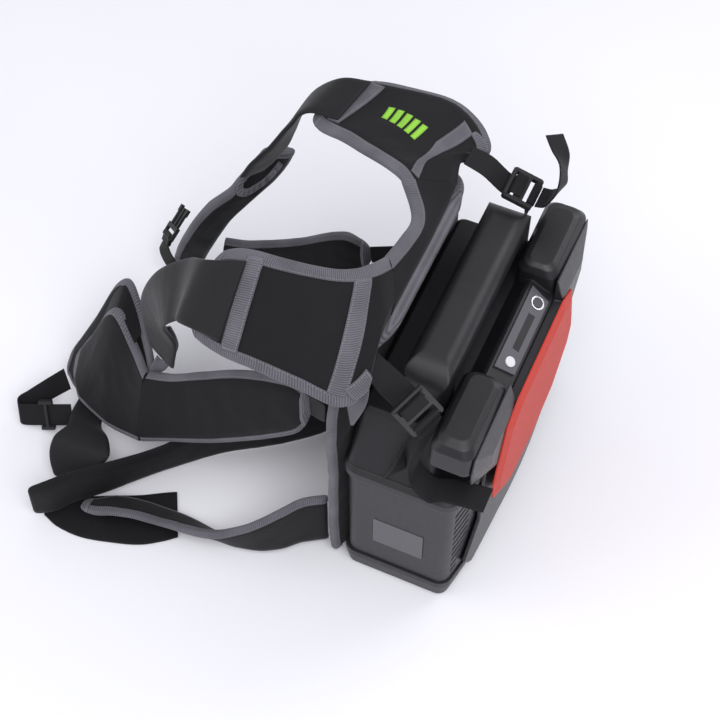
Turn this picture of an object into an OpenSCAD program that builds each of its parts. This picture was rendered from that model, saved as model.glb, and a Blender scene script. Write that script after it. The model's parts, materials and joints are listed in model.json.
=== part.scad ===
// Backpack power unit of a cordless leaf blower, on its padded harness.
// Origin: middle of the wearer-side edge of the base, on the floor.
// +X is the wearer's left, +Y points away from the wearer's back, +Z is up.

/* [Pack body] */
// Overall width of the housing at the base
pack_w = 300; // [280:2:320]
// Depth of the flat sides, from the wearer's back to the rounded outer corner
side_d = 110; // [100:1:120]
// Radius of the bowed outer face, seen from above
bow_r = 692; // [600:10:900]
// Radius of the upright corners
corner_r = 14; // [10:1:18]
// Wall of the moulded housings
wall = 3; // [2.5:0.1:4]
// Height of the bottom tray above the floor
tray_h = 30; // [24:1:36]
// Inset of the lower housing's walls behind the tray and the ledge
wall_inset = 2; // [1:0.5:3]

/* [Upper housing] */
// Height of the ledge that runs round the unit
ledge_z = 196; // [190:1:204]
// Thickness of the ledge moulding
ledge_t = 18; // [14:1:22]
// How far the ledge stands proud of the base outline
ledge_out = 3; // [2:0.5:4]
// Height of the deck under the carry handle
deck_z = 250; // [246:1:256]
// Height of the two shoulders
shoulder_z = 286; // [282:1:292]
// Half width of the recess between the shoulders
recess_x = 60; // [56:1:64]
// Front edge of the shoulders, measured from the wearer's back
shoulder_y = 82; // [80:1:86]
// Back edge of the upper housing, where the cover starts
upper_d = 122; // [120:1:124]

/* [Feet and screws] */
// Radius of the rubber feet
foot_r = 9; // [7:0.5:11]
// Height of the feet below the tray
foot_h = 3; // [2:0.5:4]
// Radius of the shaft of the tray screws
screw_r = 2; // [1.5:0.1:2.5]
// Radius of the screw heads
head_r = 4; // [3:0.1:5]

/* [Outer cover and panel] */
// Thickness of the outer cover
cover_t = 3.5; // [2.5:0.1:4.5]
// Thickness of the coloured panel on the cover
panel_t = 5; // [3:0.5:7]
// Lowest edge of the coloured panel
panel_z0 = 104; // [96:1:116]
// Upper edge of the coloured panel
panel_z1 = 256; // [250:1:258]

/* [Vents] */
// Number of slots in each vent
slot_n = 11; // [6:1:12]
// Height of a slot
slot_h = 4; // [3:0.5:5]
// Distance from slot to slot
slot_pitch = 11; // [9:0.5:12]
// Length of the longest slot
slot_len = 26; // [20:1:30]

/* [Carry handle] */
// Length of the handle over its legs
handle_l = 214; // [190:2:218]
// Middle of the handle along the unit's width
handle_x = -5; // [-6:1:0]
// Depth of the handle from front to back
handle_d = 42; // [36:1:44]
// Height of the top of the handle
handle_z = 308; // [300:1:314]
// Thickness of the handle's bar
handle_t = 24; // [20:1:26]
// Length of each leg along the handle
leg_t = 24; // [20:1:28]
// Bend radius of the handle's upper corners
bend_r = 28; // [24:1:32]
// Front edge of the handle, measured from the wearer's back
handle_y = 37; // [35:1:39]

/* [Controls] */
// Middle of the control plate along the unit's width
plate_x = -6; // [-8:1:0]
// Length of the control plate at its upper edge
plate_l = 96; // [90:1:100]
// Width of the control plate down the slope
plate_w = 21; // [19:0.5:22]
// Thickness of the control plate
plate_t = 2; // [1.5:0.1:2.5]
// Distance of each button from the end of the plate
button_x = 13; // [11:1:16]
// Radius of the power button
power_r = 5; // [4:0.1:5.5]
// Radius of the mode button
mode_r = 5; // [4:0.1:5.5]
// Radial clearance round a button
button_gap = 0.1; // [0.05:0.01:0.12]
// Travel of a button
button_travel = 1.2; // [0.8:0.1:1.5]
// Length of the window over the charge lamps
lamp_l = 42; // [36:1:46]

/* [Battery] */
// Radius of a cell
cell_r = 10.8; // [10:0.1:11]
// Length of a cell
cell_l = 70; // [65:1:72]
// Distance from cell to cell
cell_pitch = 22; // [22:0.1:22.6]
// Cells side by side
cell_nx = 10; // [8:1:10]
// Layers of cells
cell_nz = 4; // [3:1:4]

/* [Cooling fan] */
// Side of the square fan frame
fan_w = 60; // [50:1:64]
// Thickness of the fan
fan_t = 18; // [15:1:20]
// Number of blades
blade_n = 7; // [5:1:9]

/* [Webbing and buckles] */
// Width of the narrow webbing
web_w = 25; // [22:1:26]
// Thickness of the webbing
web_t = 1.8; // [1.2:0.1:2.2]
// Width of a ladder-lock buckle
lock_w = 36; // [34:1:40]
// Length of a ladder-lock from its anchor bar to its free bar
lock_l = 27; // [23:1:28]
// Radius of the bars of a buckle
bar_r = 2; // [1.6:0.1:2.4]
// Radial clearance between an anchor bar and its webbing loop
loop_gap = 0.3; // [0.2:0.05:0.5]

/* [Padding] */
// Thickness of the back pad
back_pad_t = 19; // [14:1:20]
// Thickness of the shoulder pads
pad_t = 12; // [8:1:13]
// Thickness of the smooth bands on the pads' front ends
band_t = 5; // [3:0.5:6]
// Thickness of the waist belt
belt_t = 9; // [6:1:11]
// Thickness of the pads under the arms
wing_t = 12; // [9:1:13]

/* [Hidden] */
$fn = 24;
fit = 0.3;
half_w = pack_w / 2;
bow_y = side_d + 16.5 - bow_r;
ledge_z0 = ledge_z - ledge_t;
inner_x = half_w - wall_inset - wall;
side_wall_x = half_w - wall_inset;

// ---------- plan of the housing ----------

// Plan outline moved inwards by i: flat sides, rounded corners, bowed outer face
module plan(i = 0, front = 2) {
    hw = half_w - i;
    r = max(corner_r - i, 2);
    cx = hw - r;
    y0 = front + i;
    ck = bow_y + sqrt(pow(bow_r - i - r, 2) - cx * cx);
    intersection() {
        translate([0, bow_y]) circle(bow_r - i, $fn = 240);
        translate([-cx, y0]) square([2 * cx, side_d + 40]);
    }
    translate([-hw, y0 + r]) square([2 * hw, ck - y0 - r]);
    for (s = [-1, 1]) {
        translate([s * cx, y0 + r]) circle(r);
        translate([s * cx, ck]) circle(r);
    }
}

module slab(z, h, i = 0, front = 2) {
    translate([0, 0, z]) linear_extrude(h) plan(i, front);
}

// Rounded rectangle between two corners
module rounded(x0, x1, y0, y1, r) {
    translate([x0 + r, y0]) square([x1 - x0 - 2 * r, y1 - y0]);
    translate([x0, y0 + r]) square([x1 - x0, y1 - y0 - 2 * r]);
    for (x = [x0 + r, x1 - r], y = [y0 + r, y1 - r]) translate([x, y]) circle(r);
}

module rounded_slab(z, h, x0, x1, y0, y1, r) {
    translate([0, 0, z]) linear_extrude(h) rounded(x0, x1, y0, y1, r);
}

// Block with its corners in the XZ plane given and drawn out along Y
module along_y(y0, y1) {
    translate([0, y1, 0]) rotate([90, 0, 0]) linear_extrude(y1 - y0) children();
}

// Block with its outline in the YZ plane, drawn out along X
module along_x(x0, x1) {
    translate([x0, 0, 0]) rotate([90, 0, 90]) linear_extrude(x1 - x0) children();
}

// ---------- hard unit ----------

tray_screw_xy = [[-120, 24], [120, 24], [-120, 88], [120, 88]];
foot_xy = [[-104, 22], [104, 22], [-104, 86], [104, 86]];

module bottom_tray() {
    color([0.10, 0.10, 0.11]) difference() {
        hull() {
            slab(foot_h, 0.5, 3, 0);
            slab(tray_h - 8, 8, 0, 0);
        }
        slab(foot_h + wall, tray_h, 6, 0);
        for (p = tray_screw_xy) translate([p[0], p[1], 0]) cylinder(r = screw_r + fit, h = 20);
        for (p = tray_screw_xy) translate([p[0], p[1], 0])
            cylinder(r = head_r + fit, h = foot_h + wall / 2);
    }
}

// four round feet and a heel strip under the wearer-side edge
module rubber_feet() {
    color([0.05, 0.05, 0.05]) {
        for (p = foot_xy) translate([p[0], p[1], 0]) cylinder(r = foot_r, h = foot_h);
        translate([-35, -6, 0]) cube([70, 20, foot_h]);
    }
}

module tray_screws() {
    color("silver") for (p = tray_screw_xy) translate([p[0], p[1], foot_h + wall / 2 - 2]) difference() {
        union() {
            cylinder(r = head_r, h = 2);
            cylinder(r = screw_r, h = 14);
        }
        translate([-2.5, -0.5, -1]) cube([5, 1, 2]);
    }
}

// Edge of the outer cover at height z, where the vents begin
function seam_x(z) = z < 95 ? 100 + (95 - z) * 0.44 : 100;

module vent_slots() {
    for (s = [-1, 1], k = [0:slot_n - 1]) {
        z = ledge_z0 - 24 - k * slot_pitch;
        x1 = side_wall_x - 9;
        x0 = max(x1 - slot_len, seam_x(z) + 6);
        if (x1 > x0 + 4)
            translate([s > 0 ? x0 : -x1, side_d - 12, z]) cube([x1 - x0, 40, slot_h]);
    }
}

module lower_housing() {
    color([0.12, 0.12, 0.13]) {
        difference() {
            slab(tray_h, ledge_z0 - tray_h, wall_inset);
            slab(tray_h - 1, ledge_z0 - tray_h + 2, wall_inset + wall);
            vent_slots();
            translate([side_wall_x - 0.8, label_y0 - fit, label_z0 - fit])
                cube([2, label_w + 2 * fit, label_h + 2 * fit]);
            translate([-half_w, socket_y, socket_z]) rotate([0, 90, 0]) cylinder(r = socket_r + fit, h = 12);
        }
        // posts that take the tray screws, joined to the walls by short webs
        for (p = tray_screw_xy) difference() {
            union() {
                translate([p[0], p[1], foot_h + wall + 0.2]) cylinder(r = 5, h = tray_h + 10);
                translate([p[0] > 0 ? p[0] : -inner_x - 1, p[1] - 1, tray_h])
                    cube([inner_x + 1 - abs(p[0]), 2, 14]);
            }
            translate([p[0], p[1], 0]) cylinder(r = screw_r + 0.1, h = foot_h + 16);
        }
    }
}

label_w = 51;
label_h = 44;
label_y0 = 33;
label_z0 = 67;

module label_plate() {
    color([0.55, 0.55, 0.57])
        translate([side_wall_x - 0.8 + 0.05, label_y0, label_z0]) cube([1.2, label_w, label_h]);
}

socket_r = 13;
socket_y = 60;
socket_z = 70;

module output_socket() {
    color([0.06, 0.06, 0.06]) translate([-side_wall_x, socket_y, socket_z]) rotate([0, 90, 0]) difference() {
        union() {
            translate([0, 0, -1.5]) cylinder(r = socket_r + 3, h = 1.5);
            cylinder(r = socket_r, h = 16);
        }
        translate([0, 0, -3]) cylinder(r = socket_r - 4, h = 14);
    }
    // contact pins, joined to the floor of the socket
    color([0.75, 0.72, 0.60]) translate([-side_wall_x, socket_y, socket_z]) rotate([0, 90, 0])
        for (a = [90, 210, 330]) rotate(a) translate([5, 0, 2]) cylinder(r = 1.5, h = 13);
}

// ledge with its rolled edge, kept behind the outer cover
module ledge() {
    difference() {
        hull() {
            slab(ledge_z0, 1, 0, 1);
            slab(ledge_z0 + 5, 1, -ledge_out, ledge_out + 0.3);
            slab(ledge_z - 5, 1, -ledge_out + 0.5, ledge_out);
            slab(ledge_z - 1, 1, 2, 1);
        }
        translate([-102, 0, ledge_z0 - 1]) difference() {
            cube([204, side_d + 60, ledge_t + 2]);
            translate([102, bow_y, -1]) cylinder(r = bow_r, h = ledge_t + 4, $fn = 240);
        }
    }
}

// half width of the deck's flat top, which carries both ends of the handle
deck_x = handle_l / 2 + abs(handle_x) + 2;

// sloping block under the handle
module deck() {
    hull() {
        rounded_slab(ledge_z - 1, 1, -half_w + 4, half_w - 4, 3, shoulder_y + 4, 10);
        rounded_slab(deck_z - 6, 1, -deck_x - 4, deck_x + 4, 5, shoulder_y + 4, 8);
        rounded_slab(deck_z - 1, 1, -deck_x, deck_x, 9, shoulder_y + 4, 6);
    }
}

// one shoulder, undercut above the ledge where the strap lies
module shoulder() {
    hull() {
        rounded_slab(ledge_z - 1, 1, recess_x + 2, 112, shoulder_y + 2, upper_d - 4, 6);
        rounded_slab(deck_z + 4, 2, recess_x, half_w, shoulder_y, upper_d, 8);
        rounded_slab(shoulder_z - 12, 2, recess_x, half_w - 2, shoulder_y, upper_d, 10);
        rounded_slab(shoulder_z - 4, 1, recess_x + 3, half_w - 7, shoulder_y + 4, upper_d - 4, 10);
        rounded_slab(shoulder_z - 1, 1, recess_x + 7, half_w - 15, shoulder_y + 9, upper_d - 9, 8);
    }
}

ridge_y = 99;
ridge_z = 268;
slope_z = 254;
plate_a = atan((ridge_z - slope_z) / (upper_d - ridge_y));

// floor of the recess between the shoulders
module recess_floor() {
    along_x(-recess_x - 4, recess_x + 4) polygon([
        [shoulder_y, ledge_z - 1], [shoulder_y, deck_z], [ridge_y - 4, ridge_z - 2], [ridge_y, ridge_z],
        [upper_d, slope_z], [upper_d, ledge_z - 1]
    ]);
}

// frame of the control plate: x along the plate, y down the slope, z out of it
module on_slope() {
    translate([plate_x, ridge_y, ridge_z]) rotate([-plate_a, 0, 0]) children();
}

module upper_housing() {
    color([0.13, 0.13, 0.14]) difference() {
        union() {
            ledge();
            deck();
            shoulder();
            mirror([1, 0, 0]) shoulder();
            recess_floor();
        }
        slab(ledge_z0 - 1, ledge_t - 3, wall_inset + wall);
        translate([8 - deck_x, 12, ledge_z0])
            cube([2 * deck_x - 16, shoulder_y - 14, deck_z - wall - ledge_z0]);
        for (s = [-1, 1]) translate([s * 92 - 22, shoulder_y + 4, ledge_z0])
            cube([44, upper_d - shoulder_y - 12, shoulder_z - 14 - ledge_z0]);
        translate([-recess_x + 2, shoulder_y + 2, ledge_z0])
            cube([2 * recess_x - 4, upper_d - shoulder_y - 6, deck_z - 6 - ledge_z0]);
        on_slope() translate([-plate_l / 2 + 3, 4, -16]) cube([plate_l - 9, plate_w - 2.8, 30]);
        for (p = handle_screw_xy) translate([p[0], p[1], deck_z - 10]) cylinder(r = 2.8, h = 20);
    }
}

// edge of the outer cover, half of it
cover_half = [
    [0, 8], [96, 8], [116, 30], [122, 42], [100, 95], [100, ledge_z], [0, ledge_z]
];

module cover_outline() {
    polygon(cover_half);
    mirror([1, 0]) polygon(cover_half);
}

// bow of the outer face between two radii
module bow_shell(r0, r1, z0, z1) {
    translate([0, bow_y, z0]) difference() {
        cylinder(r = r1, h = z1 - z0, $fn = 240);
        translate([0, 0, -1]) cylinder(r = r0, h = z1 - z0 + 2, $fn = 240);
    }
}

// crest of the bowed shell, and the flat upper face of the cover, which stays outside both
crest_y = bow_y + bow_r + fit + cover_t;
cover_y = max(crest_y + 0.7, upper_d + 9);

module cover_wing() {
    hull() {
        along_y(upper_d + fit, upper_d + 1.5) polygon([
            [recess_x - 2, ledge_z], [102, ledge_z], [half_w - 6, deck_z - 14], [half_w - 3, deck_z + 6],
            [half_w - 8, shoulder_z - 12], [recess_x, shoulder_z - 8], [recess_x - 2, deck_z + 2]
        ]);
        along_y(cover_y - 2, cover_y) polygon([
            [recess_x - 4, ledge_z], [92, ledge_z], [half_w - 34, deck_z - 18], [half_w - 36, deck_z - 2],
            [recess_x, deck_z + 2]
        ]);
    }
}

// lip that carries the upper face on the bowed shell, below the upper housing
module cover_lip() {
    difference() {
        along_x(-recess_x, recess_x) polygon([
            [side_d, ledge_z - 3], [cover_y, ledge_z - 3], [cover_y, ledge_z + 0.5],
            [upper_d + fit, ledge_z + 0.5], [upper_d + fit, ledge_z - 1.3], [side_d, ledge_z - 1.3]
        ]);
        translate([0, bow_y, ledge_z - 5]) cylinder(r = bow_r + fit, h = 10, $fn = 240);
    }
}

module outer_cover() {
    color([0.16, 0.16, 0.17]) difference() {
        union() {
            difference() {
                intersection() {
                    along_y(side_d - 20, side_d + 40) cover_outline();
                    bow_shell(bow_r + fit, bow_r + fit + cover_t, 0, ledge_z + 0.5);
                }
                translate([-half_w, 0, ledge_z - 1.3]) cube([pack_w, upper_d + fit, 10]);
            }
            cover_lip();
            along_y(upper_d + fit, cover_y) polygon([
                [-recess_x, ledge_z], [recess_x, ledge_z], [recess_x, deck_z + 2], [-recess_x, deck_z + 2]
            ]);
            cover_wing();
            mirror([1, 0, 0]) cover_wing();
        }
        // the foot of the cover rounds inwards
        translate([0, 0, -1]) along_x(-half_w, half_w) polygon([
            [side_d + 4, 0], [side_d + 12, 22], [side_d + 18, 44], [side_d + 40, 60], [side_d + 40, 0]
        ]);
    }
}

panel_half = [
    [0, panel_z0 - 8], [62, panel_z0 + 2], [100, panel_z0 + 40], [104, panel_z0 + 70],
    [84, panel_z1 - 14], [58, panel_z1], [0, panel_z1]
];

module panel_outline() {
    offset(r = 6, $fn = 24) offset(delta = -6) union() {
        polygon(panel_half);
        mirror([1, 0]) polygon(panel_half);
    }
}

module orange_panel() {
    color([0.85, 0.18, 0.10]) hull() {
        along_y(cover_y + 0.1, cover_y + 1.6) panel_outline();
        along_y(cover_y + panel_t - 0.5, cover_y + panel_t)
            offset(delta = -11) panel_outline();
    }
}

handle_screw_xy = [for (s = [-1, 1], y = [handle_y + 12, handle_y + handle_d - 12])
    [handle_x + s * (handle_l - leg_t) / 2, y]];

// arched side view of the handle
module handle_side() {
    hl = handle_l / 2;
    difference() {
        union() {
            translate([-hl + bend_r, deck_z]) square([handle_l - 2 * bend_r, handle_z - deck_z]);
            translate([-hl, deck_z]) square([handle_l, handle_z - bend_r - deck_z]);
            for (s = [-1, 1]) translate([s * (hl - bend_r), handle_z - bend_r]) circle(bend_r, $fn = 64);
        }
        translate([-hl + leg_t, deck_z - 1])
            square([handle_l - 2 * leg_t, handle_z - handle_t - deck_z - 9]);
        translate([-hl + leg_t + 10, deck_z - 1])
            square([handle_l - 2 * leg_t - 20, handle_z - handle_t - deck_z + 1]);
        for (s = [-1, 1]) translate([s * (hl - leg_t - 10), handle_z - handle_t - 10]) circle(10);
    }
}

module carry_handle() {
    color([0.11, 0.11, 0.12]) difference() {
        intersection() {
            along_y(handle_y, handle_y + handle_d) translate([handle_x, 0]) handle_side();
            along_x(-handle_l, handle_l)
                rounded(handle_y, handle_y + handle_d, deck_z - 30, handle_z, 12);
            rounded_slab(deck_z, 80, handle_x - handle_l / 2, handle_x + handle_l / 2,
                handle_y, handle_y + handle_d, 10);
        }
        for (p = handle_screw_xy) translate([p[0], p[1], deck_z - 1]) cylinder(r = 2.5, h = 23);
    }
}

module handle_screws() {
    color("silver") for (p = handle_screw_xy) translate([p[0], p[1], deck_z - wall - 3]) {
        cylinder(r = 5, h = 3);
        cylinder(r = 2.4, h = 22);
    }
}

// ---------- controls ----------

button_y = 14;
button_at = plate_l / 2 - button_x;
board_z = -6.4;

module control_plate() {
    color([0.42, 0.42, 0.44]) on_slope() {
        difference() {
            translate([0, 0, 0.05]) linear_extrude(plate_t) polygon([
                [-plate_l / 2, 2.5], [plate_l / 2, 2.5], [plate_l / 2 - 5, 2.5 + plate_w],
                [-plate_l / 2 + 4, 2.5 + plate_w]
            ]);
            translate([-button_at, button_y, -1]) cylinder(r = ring_r + 0.05, h = 8);
            translate([button_at, button_y, -1]) cylinder(r = mode_r + button_gap, h = 8);
            translate([-lamp_l / 2 - 0.1, button_y - 3.6, -1]) cube([lamp_l + 0.2, 7.2, 8]);
        }
        for (s = [-1, 1], y = [7.2, 19.6]) translate([s * (button_at - 9), y, board_z + 0.05])
            cylinder(r = 1.5, h = -board_z);
    }
}

ring_r = 7;

module power_button_ring() {
    color([0.85, 0.85, 0.87]) on_slope() translate([-button_at, button_y, -2]) difference() {
        union() {
            cylinder(r = ring_r, h = plate_t + 2.8);
            cylinder(r = ring_r + 0.8, h = 2);
        }
        translate([0, 0, -1]) cylinder(r = power_r + button_gap, h = 10);
    }
}

// cap with a flange whose upper side lies at height seat; its foot clears the switch by the travel
module button(r, top, seat) {
    foot = board_z + 1.5 + button_travel + fit;
    translate([0, 0, foot]) cylinder(r = r, h = top - foot);
    translate([0, 0, seat - 1.1]) cylinder(r = r + 1, h = 1.1);
}

module power_button() {
    color([0.20, 0.20, 0.22]) on_slope() translate([-button_at, button_y, 0])
        button(power_r, plate_t + 1.6, -2.25);
}

module mode_button() {
    color([0.88, 0.88, 0.88]) on_slope() translate([button_at, button_y, 0])
        button(mode_r, plate_t + 1.4, -0.2);
}

module lamp_window() {
    color([0.05, 0.05, 0.06]) on_slope()
        translate([-lamp_l / 2, button_y - 3.5, board_z + 3]) cube([lamp_l, 7, plate_t - board_z - 2.9]);
}

module control_board() {
    color([0.05, 0.30, 0.14]) on_slope() {
        translate([-plate_l / 2 + 5, 4.8, board_z - 1.6]) cube([plate_l - 13, plate_w - 5.2, 1.6]);
        for (s = [-1, 1]) translate([s * button_at, button_y, board_z - 0.1]) cylinder(r = 2.5, h = 1.5);
        translate([-lamp_l / 2 + 2, button_y - 2, board_z - 0.1]) cube([lamp_l - 4, 4, 2.9]);
    }
}

// ---------- inside the lower housing ----------

block_y0 = 24;
block_z0 = 34;
block_w = cell_nx * cell_pitch;
block_h = cell_nz * cell_pitch;
block_z1 = block_z0 + block_h;

module battery_cells() {
    color([0.20, 0.45, 0.60]) for (i = [0:cell_nx - 1], k = [0:cell_nz - 1])
        translate([-block_w / 2 + (i + 0.5) * cell_pitch, block_y0 + cell_l, block_z0 + (k + 0.5) * cell_pitch])
            rotate([90, 0, 0]) cylinder(r = cell_r, h = cell_l, $fn = 14);
}

// ring that holds one end of the block of cells, on two legs down to the tray
module cell_frame(y0) {
    difference() {
        translate([-block_w / 2 - 4, y0, foot_h + wall + 0.3])
            cube([block_w + 8, 14, block_z1 + 4 - foot_h - wall - 0.3]);
        translate([-block_w / 2, y0 - 1, block_z0]) cube([block_w, 16, block_h]);
        translate([-block_w / 2 + 30, y0 - 1, 0]) cube([block_w - 60, 16, block_z0 - 4]);
    }
}

module cell_frame_inner() {
    color([0.75, 0.72, 0.62]) cell_frame(block_y0 + 4);
}

module cell_frame_outer() {
    color([0.75, 0.72, 0.62]) cell_frame(block_y0 + cell_l - 18);
}

// nickel strips across the ends of the cells
module bus_bars() {
    color([0.80, 0.80, 0.78]) for (i = [0:cell_nx / 2 - 1], y = [block_y0 - 0.6, block_y0 + cell_l + 0.1])
        translate([-block_w / 2 + (2 * i + 0.5) * cell_pitch - 5, y, block_z0 + 6])
            cube([cell_pitch + 10, 0.5, block_h - 12]);
}

module management_board() {
    color([0.05, 0.30, 0.14]) {
        translate([-80, block_y0 + 6, block_z1 + 12]) cube([160, cell_l - 12, 1.6]);
        for (x = [-70, 70], y = [block_y0 + 11, block_y0 + cell_l - 11])
            translate([x, y, block_z1 + 4.2]) cylinder(r = 3, h = 8);
    }
}

module heat_sink() {
    color([0.70, 0.72, 0.74]) translate([-50, block_y0 + 18, block_z1 + 13.8]) {
        cube([100, cell_l - 36, 3]);
        for (k = [0:6]) translate([0, k * 5, 2.9]) cube([100, 2, 12]);
    }
}

fan_x = inner_x - 0.3 - fan_t;
fan_y = 62;
fan_z = 100;
hub_r = 11;
axle_r = 2;

module fan_frame() {
    color([0.08, 0.08, 0.08]) translate([fan_x, fan_y, fan_z]) rotate([0, 90, 0]) {
        difference() {
            translate([-fan_w / 2, -fan_w / 2, 0]) cube([fan_w, fan_w, fan_t]);
            translate([0, 0, -1]) cylinder(r = fan_w / 2 - 2, h = fan_t + 2, $fn = 48);
        }
        for (a = [0:90:270]) rotate(a) translate([4, -2, 0]) cube([fan_w / 2 - 5, 4, 2]);
        cylinder(r = hub_r, h = 2);
        cylinder(r = axle_r, h = fan_t - 3);
    }
}

module fan_rotor() {
    color([0.15, 0.15, 0.16]) translate([fan_x, fan_y, fan_z]) rotate([0, 90, 0]) difference() {
        union() {
            translate([0, 0, 2.4]) cylinder(r = hub_r, h = fan_t - 5);
            for (k = [0:blade_n - 1]) rotate(k * 360 / blade_n) translate([hub_r - 1, 0, fan_t / 2 - 0.5])
                rotate([38, 0, 0]) translate([0, -0.7, -5.5]) cube([fan_w / 2 - 3.2 - hub_r, 1.4, 11]);
        }
        translate([0, 0, 0]) cylinder(r = axle_r + 0.05, h = fan_t - 2.9);
    }
}

// ---------- strips: straps, bands and pads ----------
// A strip is a list of stations [edge a, edge b, thickness, direction]; the last two may be left out.

function unit(v) = v / norm(v);
function middle(s) = (s[0] + s[1]) / 2;
function heading(st, i) = len(st[i]) > 3 ? unit(st[i][3]) :
    unit(middle(st[min(i + 1, len(st) - 1)]) - middle(st[max(i - 1, 0)]));
function facing(st, i) = unit(cross(heading(st, i), st[i][1] - st[i][0]));
function thick(st, i, t) = len(st[i]) > 2 ? st[i][2] : t;

// cross-section of a strip: rounded edges and, on a pad, a crowned face
function ring_at(a, b, n, h, crown) =
    let (e = unit(b - a), m = (a + b) / 2, k = h * 0.4, c = h * (1 + crown))
    [a - n * k, a + e * h - n * h, m - n * c, b - e * h - n * h, b - n * k,
     b + n * k, b - e * h + n * h, m + n * c, a + e * h + n * h, a + n * k];

module strip(st, t, crown = 0) {
    last = len(st) - 1;
    rings = [for (i = [0:last])
        ring_at(st[i][0], st[i][1], facing(st, i), thick(st, i, t) / 2, crown)];
    points = [for (r = rings) each r];
    sides = [for (i = [0:last - 1], j = [0:9])
        let (p = i * 10 + j, q = i * 10 + (j + 1) % 10)
        each [[p, p + 10, q], [q, p + 10, q + 10]]];
    first_cap = [for (j = [1:8]) [0, j, j + 1]];
    last_cap = [for (j = [1:8]) [last * 10, last * 10 + j + 1, last * 10 + j]];
    polyhedron(points, concat(sides, first_cap, last_cap));
}

// station of a plain webbing: middle point, direction of its width, thickness
function web(c, u, w = web_w) = [c - unit(u) * w / 2, c + unit(u) * w / 2];

pad_y = -back_pad_t / 2 - fit;

back_pad_path = [
    [[-146, pad_y, foot_h + 0.3], [146, pad_y, foot_h + 0.3]], [[-149, pad_y, 60], [149, pad_y, 60]],
    [[-148, pad_y, 140], [148, pad_y, 140]], [[-149, pad_y, 220], [149, pad_y, 220]],
    [[-144, pad_y, 268], [144, pad_y, 268]], [[-124, -5, 300], [124, -5, 300]],
    [[-95, 17, 326], [95, 17, 326], 14]
];

module back_pad() {
    color([0.09, 0.09, 0.10]) strip(back_pad_path, back_pad_t, 0);
}

near_root = [[40, -4, 368], [72, 13, 332], pad_t * 0.8, [1, 0, 0.1]];
far_root = [[-46, -26, 363], [-84, 11, 332], pad_t * 0.8, [-1, -0.1, 0]];

yoke_path = [
    [far_root[0], far_root[1], far_root[2], [1, 0.1, 0]], [[-12, -1, 363], [-26, 13, 332]],
    [[14, -1, 365], [20, 13, 332]], near_root
];

module yoke() {
    color([0.10, 0.10, 0.11]) strip(yoke_path, pad_t * 0.8, 0.1);
}

near_pad_path = [
    [near_root[0] + [0.3, 0, 0], near_root[1] + [0.3, 0, 0], near_root[2], near_root[3]],
    [[54, -8, 375], [97, 14, 332]], [[62, -12, 378], [120, 18, 321]], [[70, -18, 380], [140, 20, 312]],
    [[78, -32, 381], [163, 8, 317]], [[83, -55, 381], [166, -28, 325]],
    [[86, -80, 381], [162, -76, 323]], [[88, -107, 380], [158, -104, 318]],
    [[90, -127, 372], [148, -133, 313]], [[96, -137, 364], [136, -146, 312]]
];

module near_shoulder_pad() {
    color([0.10, 0.10, 0.11]) strip(near_pad_path, pad_t, 0.12);
}

far_pad_path = [
    [far_root[0] - [0.3, 0, 0], far_root[1] - [0.3, 0, 0], far_root[2], far_root[3]],
    [[-51, -36, 364], [-117, 5, 330]], [[-55, -50, 365], [-141, 21, 320]],
    [[-59, -66, 365], [-163, 9, 321]], [[-64, -83, 364], [-176, -14, 327]],
    [[-69, -96, 361], [-178, -35, 332]], [[-73, -109, 357], [-170, -64, 339]],
    [[-79, -123, 353], [-159, -93, 347]], [[-90, -136, 350], [-147, -112, 350]]
];

module far_shoulder_pad() {
    color([0.10, 0.10, 0.11]) strip(far_pad_path, pad_t, 0.12);
}

near_band_path = [
    [[101, -105, 382], [155, -107, 333.5]], [[104, -141, 368], [146, -151, 323]],
    [[87, -170, 334], [129, -163, 298]], [[82, -203, 297], [124, -182, 272]],
    [[79, -226, 256], [115, -190, 246]], [[77, -239, 216], [106, -192, 222]],
    [[76, -240, 180], [100, -192, 196]], [[77, -238, 147], [96, -202, 149]]
];

module near_band() {
    color([0.13, 0.13, 0.14]) strip(near_band_path, band_t);
}

far_band_path = [
    [[-87, -107, 363], [-145, -99, 360]], [[-87, -134, 361], [-138, -126, 359]],
    [[-85, -146, 353], [-132, -147, 342]], [[-83, -152, 341], [-122, -160, 318]],
    [[-80, -160, 330], [-112, -164, 300]], [[-76, -176, 302], [-106, -170, 280]],
    [[-72, -194, 276], [-101, -183, 257]], [[-70, -205, 253], [-100, -194, 240]]
];

module far_band() {
    color([0.13, 0.13, 0.14]) strip(far_band_path, band_t);
}

crease = [-0.45, -0.86, -0.05];

near_wing_path = [
    [[112, -47, 226], [118, -43, 202], 8], [[107, -58, 231], [124, -51, 180], 11],
    [[104, -74, 227], [127, -64, 166]],
    [[99, -122, 200], [128, -110, 126]], [[98, -166, 168], [128, -154, 92]],
    [[99, -200, 144], [128, -204, 60]], [[98, -228, 130], [130, -229, 46], 16, crease]
];

module near_wing_pad() {
    color([0.10, 0.10, 0.11]) strip(near_wing_path, wing_t, 0.1);
}

near_chest_path = [
    [[98, -228, 130] + crease * 0.4, [130, -229, 46] + crease * 0.4, 16, crease],
    [[72, -252, 147], [118, -266, 33], 28], [[46, -282, 176], [110, -298, 27], 34],
    [[50, -319, 96], [98, -327, 27], 26], [[58, -344, 44], [80, -345, 24], 18]
];

module near_chest_pad() {
    color([0.10, 0.10, 0.11]) strip(near_chest_path, 20, 0.1);
}

far_wing_path = [
    [[-104, -82, 170], [-104, -80, 142], 8], [[-100, -107, 182], [-101, -103, 112]],
    [[-100, -159, 145], [-100, -161, 66]], [[-98, -217, 112], [-98, -223, 28]],
    [[-98, -246, 102], [-98, -254, 32], 10]
];

module far_wing_pad() {
    color([0.10, 0.10, 0.11]) strip(far_wing_path, wing_t, 0.1);
}

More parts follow.
